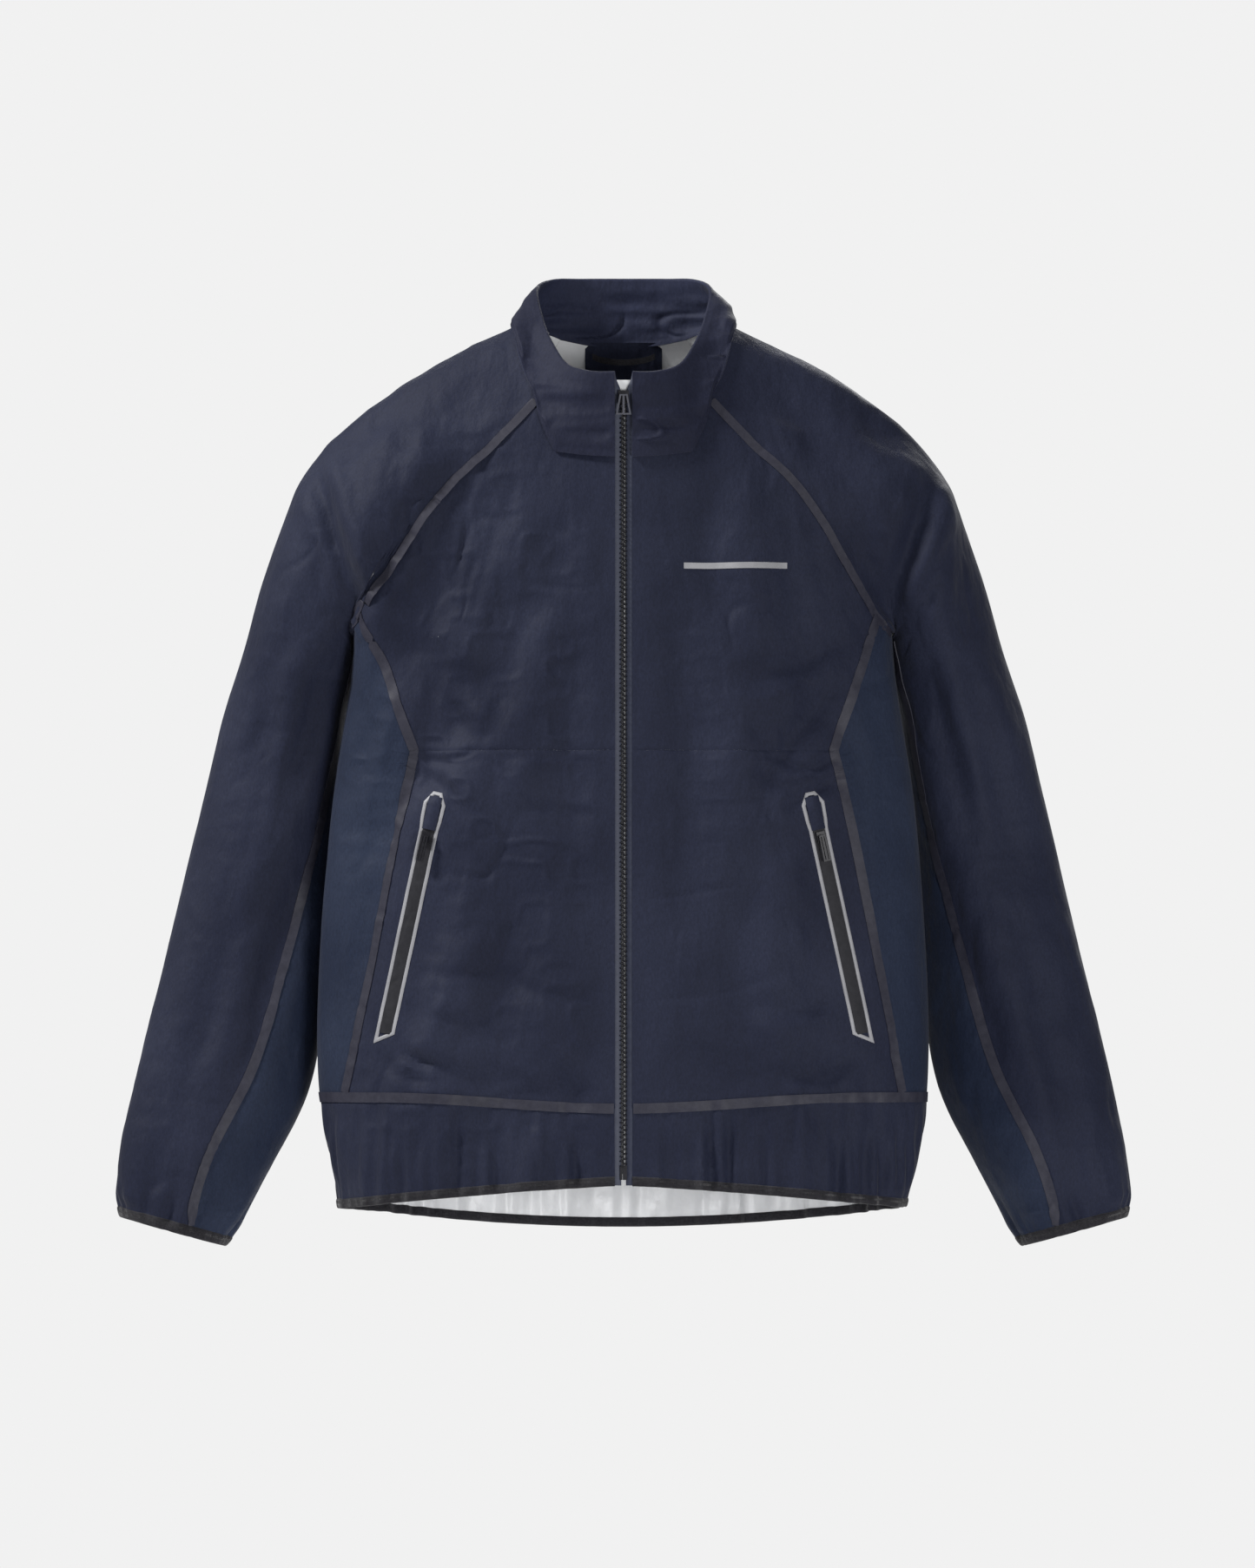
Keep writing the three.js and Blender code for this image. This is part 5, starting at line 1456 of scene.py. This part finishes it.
def prism(outline, low_y, high_y, crown=0.0):
    """A closed solid from an outline of x and z with its two faces along y. crown pulls in the front face."""
    o = np.array(outline, float)
    k = len(o)
    middle = o.mean(0)
    small = middle + (o - middle) * (1 - crown)
    front = np.column_stack([small[:, 0], np.full(k, low_y), small[:, 1]])
    mid = np.column_stack([o[:, 0], np.full(k, lerp(low_y, high_y, 0.35)), o[:, 1]])
    rear = np.column_stack([o[:, 0], np.full(k, high_y), o[:, 1]])
    cap_front = np.array([[middle[0], low_y, middle[1]]])
    cap_rear = np.array([[middle[0], high_y, middle[1]]])
    points = np.concatenate([front, mid, rear, cap_front, cap_rear])
    i = np.arange(k)
    j = (i + 1) % k
    walls = np.concatenate(
        [np.stack([i, j, j + k, i + k], -1), np.stack([i + k, j + k, j + 2 * k, i + 2 * k], -1)]
    )
    # Caps as fans of four-cornered faces, two outline edges at a time.
    e = np.arange(0, k, 2)
    fan_front = np.stack([np.full(len(e), 3 * k), (e + 2) % k, (e + 1) % k, e], -1)
    fan_rear = np.stack([np.full(len(e), 3 * k + 1), e + 2 * k, (e + 1) % k + 2 * k, (e + 2) % k + 2 * k], -1)
    return points, np.concatenate([walls, fan_front, fan_rear])


def repeated(points, quads, shifts):
    """Copies of one small solid at many places, as one list of points and faces."""
    many = points[None] + shifts[:, None]
    faces = quads[None] + (np.arange(len(shifts)) * len(points))[:, None, None]
    return many.reshape(-1, 3), faces.reshape(-1, 4)


def facing_out(points, quads):
    """Turns all faces round if the solid is inside out."""
    q = points[quads]
    volume = np.sum(q[:, 0] * np.cross(q[:, 1], q[:, 2])) + np.sum(q[:, 0] * np.cross(q[:, 2], q[:, 3]))
    return quads[:, ::-1] if volume < 0 else quads


CHAIN_TOP, CHAIN_LOW = -SLIDER_TOP - 1, -ZIP_LENGTH + PIN_HEIGHT + 1
for word, side in SIDES:
    tooth = [
        (2.6, -0.6),
        (2.6, 0.6),
        (1.1, 0.55),
        (0.6, 1.0),
        (-0.3, 1.05),
        (-0.9, 0.5),
        (-0.9, -0.5),
        (-0.3, -1.05),
        (0.6, -1.0),
        (1.1, -0.55),
    ]
    points, quads = prism(tooth, TAPE_PLANE - 2.3, TAPE_PLANE + 1.0, 0.42)
    points[:, 0] *= side
    start = CHAIN_TOP - (2.2 if side == RIGHT else 2.2 + TOOTH_PITCH / 2)
    count = int((start - CHAIN_LOW + 2.4) / TOOTH_PITCH) + 1
    shifts = np.stack([np.zeros(count), np.zeros(count), start - TOOTH_PITCH * np.arange(count)], -1)
    shifts[:, 0] = side * 0.35
    all_points, all_quads = repeated(points, quads, shifts)
    all_quads = facing_out(all_points, all_quads)
    teeth = new_object("zip_teeth_" + word, lean(all_points), all_quads, [PLASTIC])
    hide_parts("front_zip_chain_" + word)
    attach(teeth, "torso")

    # The tape beside the chain: it lies under the folded edge of the front and shows as a narrow band.
    v = np.linspace(0, 1, 200) ** 1.6
    strip = np.array([(1.9, 1.15), (3.0, 0.35), (6.9, -0.35), (11.5, -0.2)])
    opening = 4.9 * smooth(1 - v * ZIP_LENGTH / 17)[:, None]
    x = strip[:, 0][None] + opening * smooth((9 - strip[:, 0]) / 5)[None]
    y = TAPE_PLANE + strip[:, 1][None] + 0 * v[:, None]
    z = -(ZIP_LENGTH + 4.5) * v[:, None] + 0 * x
    outer = lean(np.stack([side * x, y - 0.3, z], -1))
    inner = lean(np.stack([side * x, y + 0.35, z], -1))
    ribbon = one_finish("zip_ribbon_" + word, outer, inner, ZIP_TAPE)
    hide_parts("front_zip_tape_" + word)
    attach(ribbon, "torso")
print("zip made")

# %% [markdown]
# ## Pockets
# Each hand pocket is a welded zip set in a slanted slot. A silver film frame is bonded round it, pointed at
# both ends, and a flap of shell cloth, the garage, hides the slider at the top. The bag hangs inside.

# %% Pockets
POCKET_TOP, POCKET_END = np.array([-160.5, -396.0]), np.array([-198.0, -570.0])
POCKET_LENGTH = float(np.linalg.norm(POCKET_END - POCKET_TOP))
POCKET_DOWN = (POCKET_END - POCKET_TOP) / POCKET_LENGTH
POCKET_ACROSS = np.array([-POCKET_DOWN[1], POCKET_DOWN[0]])
FRAME_WIDTH_MM = 3.0
POCKET_OUTLINE = np.array(
    [
        (-4, -28),
        (4, -28),
        (9.5, -18),
        (9, -4),
        (8, 4),
        (8, POCKET_LENGTH - 2),
        (-8, POCKET_LENGTH + 9),
        (-8, 4),
        (-9, -4),
        (-9.5, -18),
    ],
    float,
)


def pocket_at(points):
    """Angle and height on the body for distances across and down the pocket."""
    xz = POCKET_TOP + points[..., 1:2] * POCKET_DOWN + points[..., 0:1] * POCKET_ACROSS
    return on_front(xz)


def inset_outline(points, distance):
    """The same closed outline moved inwards by a distance, corner by corner."""
    before, after = np.roll(points, 1, 0), np.roll(points, -1, 0)

    def edge(a, b):
        """The unit direction a quarter turn from each side's own direction."""
        d = unit(b - a)
        return np.column_stack([-d[:, 1], d[:, 0]])

    n1, n2 = edge(before, points), edge(points, after)
    return points + (n1 + n2) * (distance / (1 + np.sum(n1 * n2, -1)))[:, None]


def ring_points(outline, inner, longest=2.5):
    """Matching points along two closed outlines, close enough together to follow the cloth."""
    outs, ins = [], []
    for a, b, c, d in zip(outline, np.roll(outline, -1, 0), inner, np.roll(inner, -1, 0)):
        t = np.linspace(0, 1, max(2, int(np.linalg.norm(b - a) / longest)) + 1)[:-1, None]
        outs.append(lerp(a, b, t))
        ins.append(lerp(c, d, t))
    return np.concatenate(outs), np.concatenate(ins)


def on_pocket(points, side, lift):
    """Points of the pocket drawing laid on the cloth, and the normals there."""
    cloth, n = body_cloth(pocket_at(points), 0.0, side)
    return cloth + n * np.asarray(lift)[..., None], n


for word, side in SIDES:
    far, near = ring_points(POCKET_OUTLINE, inset_outline(POCKET_OUTLINE, FRAME_WIDTH_MM))
    shares = np.array([0, 0.14, 0.5, 0.86, 1.0])[:, None, None]
    heights = np.array([0.2, 0.62, 0.72, 0.62, 0.2])[:, None] * np.ones(len(far))[None]
    outer, n = on_pocket(lerp(far[None], near[None], shares), side, heights)
    inner, _ = on_pocket(lerp(far[None], near[None], shares), side, 0 * heights + 0.04)
    quads = grid_quads(*outer.shape[:2], loop=True)
    ring_obj = thick_cloth(
        "pocket_frame_film_" + word, outer.reshape(-1, 3), inner.reshape(-1, 3), quads, [SILVER], None, 0
    )
    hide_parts("pocket_frame_" + word)
    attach(ring_obj, "torso")

    def strip(name, node, half, top, low, lift, material, slot, crown, cols, rows, thick=0.4):
        """A strip down the pocket between two distances, lifted off the cloth, with a crown in its middle."""
        x, d = np.meshgrid(np.linspace(-half, half, cols + 1), np.linspace(top, low, rows + 1))
        q = np.stack([x, d], -1)
        height = lift + crown * (1 - (x / half) ** 2)
        outer, n = on_pocket(q, side, height)
        obj = one_finish(name + "_" + word, outer, outer - n * thick, material)
        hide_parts(node + "_" + word)
        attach(obj, "torso")

    zip_low = POCKET_LENGTH - 1
    strip("pocket_zip_cloth", "pocket_zip", 4.9, 1, zip_low, 0.6, POCKET_ZIP, "zip_tape", 0.35, 14, 120)
    strip("pocket_garage_cloth", "pocket_garage", 5.6, -24, 4, 1.1, SHELL, "shell_navy", 1.5, 16, 26, 0.5)

    u, v = np.meshgrid(np.linspace(0, 1, 61), np.linspace(0, 1, 81))
    z = lerp(POCKET_TOP[1] + 20, POCKET_END[1] - 32, v)
    x = lerp(-150 + lerp(-10, -52, v), -24, u)
    at = on_front(shelf(x, z))
    p, n = on_side(body_point(at), side), on_side(body_normal(at), side)
    sag = 1.5 * MIDDLE(p, (30, 30, 40)) + 0.6 * SMALL(p, (12, 12, 16))
    edge = np.minimum(smooth(u / 0.12) * smooth((1 - u) / 0.12), smooth(v / 0.1) * smooth((1 - v) / 0.1))
    front_ply = p + n * (np.minimum(folds(p, n), 1.5) - 3.4)[..., None]
    rear_ply = front_ply - n * (1.2 + (1.8 + sag) * edge)[..., None]
    bag = one_finish("pocket_bag_cloth_" + word, front_ply, rear_ply, LINING, arc_uv(p))
    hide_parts("pocket_bag_" + word)
    declare(bag, "torso")
print("pockets made")

# %% [markdown]
# ## Inside the neck, the storm flap and the chest bar
# A shell-cloth patch and a hanger loop sit inside the back neck. Behind the zip runs a storm flap of the pale
# film. On the wearer's left chest is a plain reflective bar.

# %% Small cloth pieces
PATCH_TOP, PATCH_HEIGHT, PATCH_WIDTH, PATCH_SINK = -3.0, 30.0, 64.0, 6.8
PATCH_RAISED = 8.0  # the cloth patch runs up behind the foot of the collar


def back_depth(z):
    """The depth of the back in the middle, at a height."""
    return float(back_y(np.zeros(1), np.array([z]))[0])


patch_top_y = back_depth(PATCH_TOP) - PATCH_SINK
patch_low_y = back_depth(PATCH_TOP - PATCH_HEIGHT) - PATCH_SINK
u, v = np.meshgrid(np.linspace(-1, 1, 61), np.linspace(0, 1, 31))
corner = 1 - 0.04 * np.clip(v - 0.8, 0, 1) * np.abs(u)
face = np.stack(
    [
        u * PATCH_WIDTH / 2 * corner,
        lerp(patch_top_y, patch_low_y, v) - 1.0,
        PATCH_TOP + PATCH_RAISED - (PATCH_HEIGHT + PATCH_RAISED) * v,
    ],
    -1,
)
puff = 0.3 * SMALL(face, (12, 12, 12)) * smooth((1 - np.abs(u)) / 0.1)
face[..., 1] += puff
rear = face + np.array([0, 0.9, 0])
patch_obj = one_finish("neck_patch_cloth", face, rear, SHELL)
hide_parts("neck_patch")
declare(patch_obj, "torso")

top_y = patch_top_y
loop_path = spline(
    [
        (-26, top_y - 3.4, -4),
        (-18, top_y - 5, -7),
        (0, top_y - 8, -9),
        (18, top_y - 5, -7),
        (26, top_y - 3.4, -4),
    ]
)
u, v = np.meshgrid(np.linspace(0, 1, 91), np.linspace(0, 1, 7))
line = loop_path(u)
ribs = 0.12 * np.sin(v * math.pi * 6)
face = line + np.stack([0 * u, -1.0 - ribs, -5 * v], -1)
rear = line + np.stack([0 * u, 0 * u, -5 * v], -1)
loop_obj = one_finish("hanger_loop_tape", face, rear, BINDING)
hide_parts("hanger_loop")
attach(loop_obj, "torso")

FLAP_X, FLAP_HALF, FLAP_TOP, FLAP_SHORTER = 2, 15, -5, 10
u, v = np.meshgrid(np.linspace(-1, 1, 25), np.linspace(0, 1, 240))
flat = np.stack([FLAP_X + FLAP_HALF * u, 0 * u, FLAP_TOP - (ZIP_LENGTH - FLAP_SHORTER) * v], -1)
ripple = 0.5 * MIDDLE(flat, (16, 16, 46)) * smooth((1 - np.abs(u)) / 0.5)
flap_front = lean(flat + np.stack([0 * u, TAPE_PLANE + 2.9 + ripple, 0 * u], -1))
flap_rear = lean(flat + np.stack([0 * u, TAPE_PLANE + 3.8 + ripple, 0 * u], -1))
flap = one_finish("storm_flap_cloth", flap_front, flap_rear, LINING)
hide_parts("storm_flap")
declare(flap, "torso")

BAR_X, BAR_Z, BAR_LENGTH, BAR_HEIGHT = 93, -181, 86, 5
u, v = np.meshgrid(np.linspace(-0.5, 0.5, 61), np.linspace(-0.5, 0.5, 7))
at = on_front(shelf(BAR_X + u * BAR_LENGTH, BAR_Z + v * BAR_HEIGHT))
face, n = body_cloth(at, 0.5)
rear, _ = body_cloth(at, 0.06)
bar = one_finish("chest_bar_film", face, rear, SILVER)
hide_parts("chest_bar")
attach(bar, "torso")

PLASTIC_NODES = ("zip_retainer_box", "zip_insertion_pin", "front_slider", "pocket_slider_right")
PLASTIC_NODES += ("pocket_slider_left", "pocket_pull_right", "pocket_pull_left")
for name in PLASTIC_NODES + ("front_pull",):
    NODES[name].data.materials.clear()
    NODES[name].data.materials.append(PULL_FINISH if name == "front_pull" else PLASTIC)
print("small pieces made")
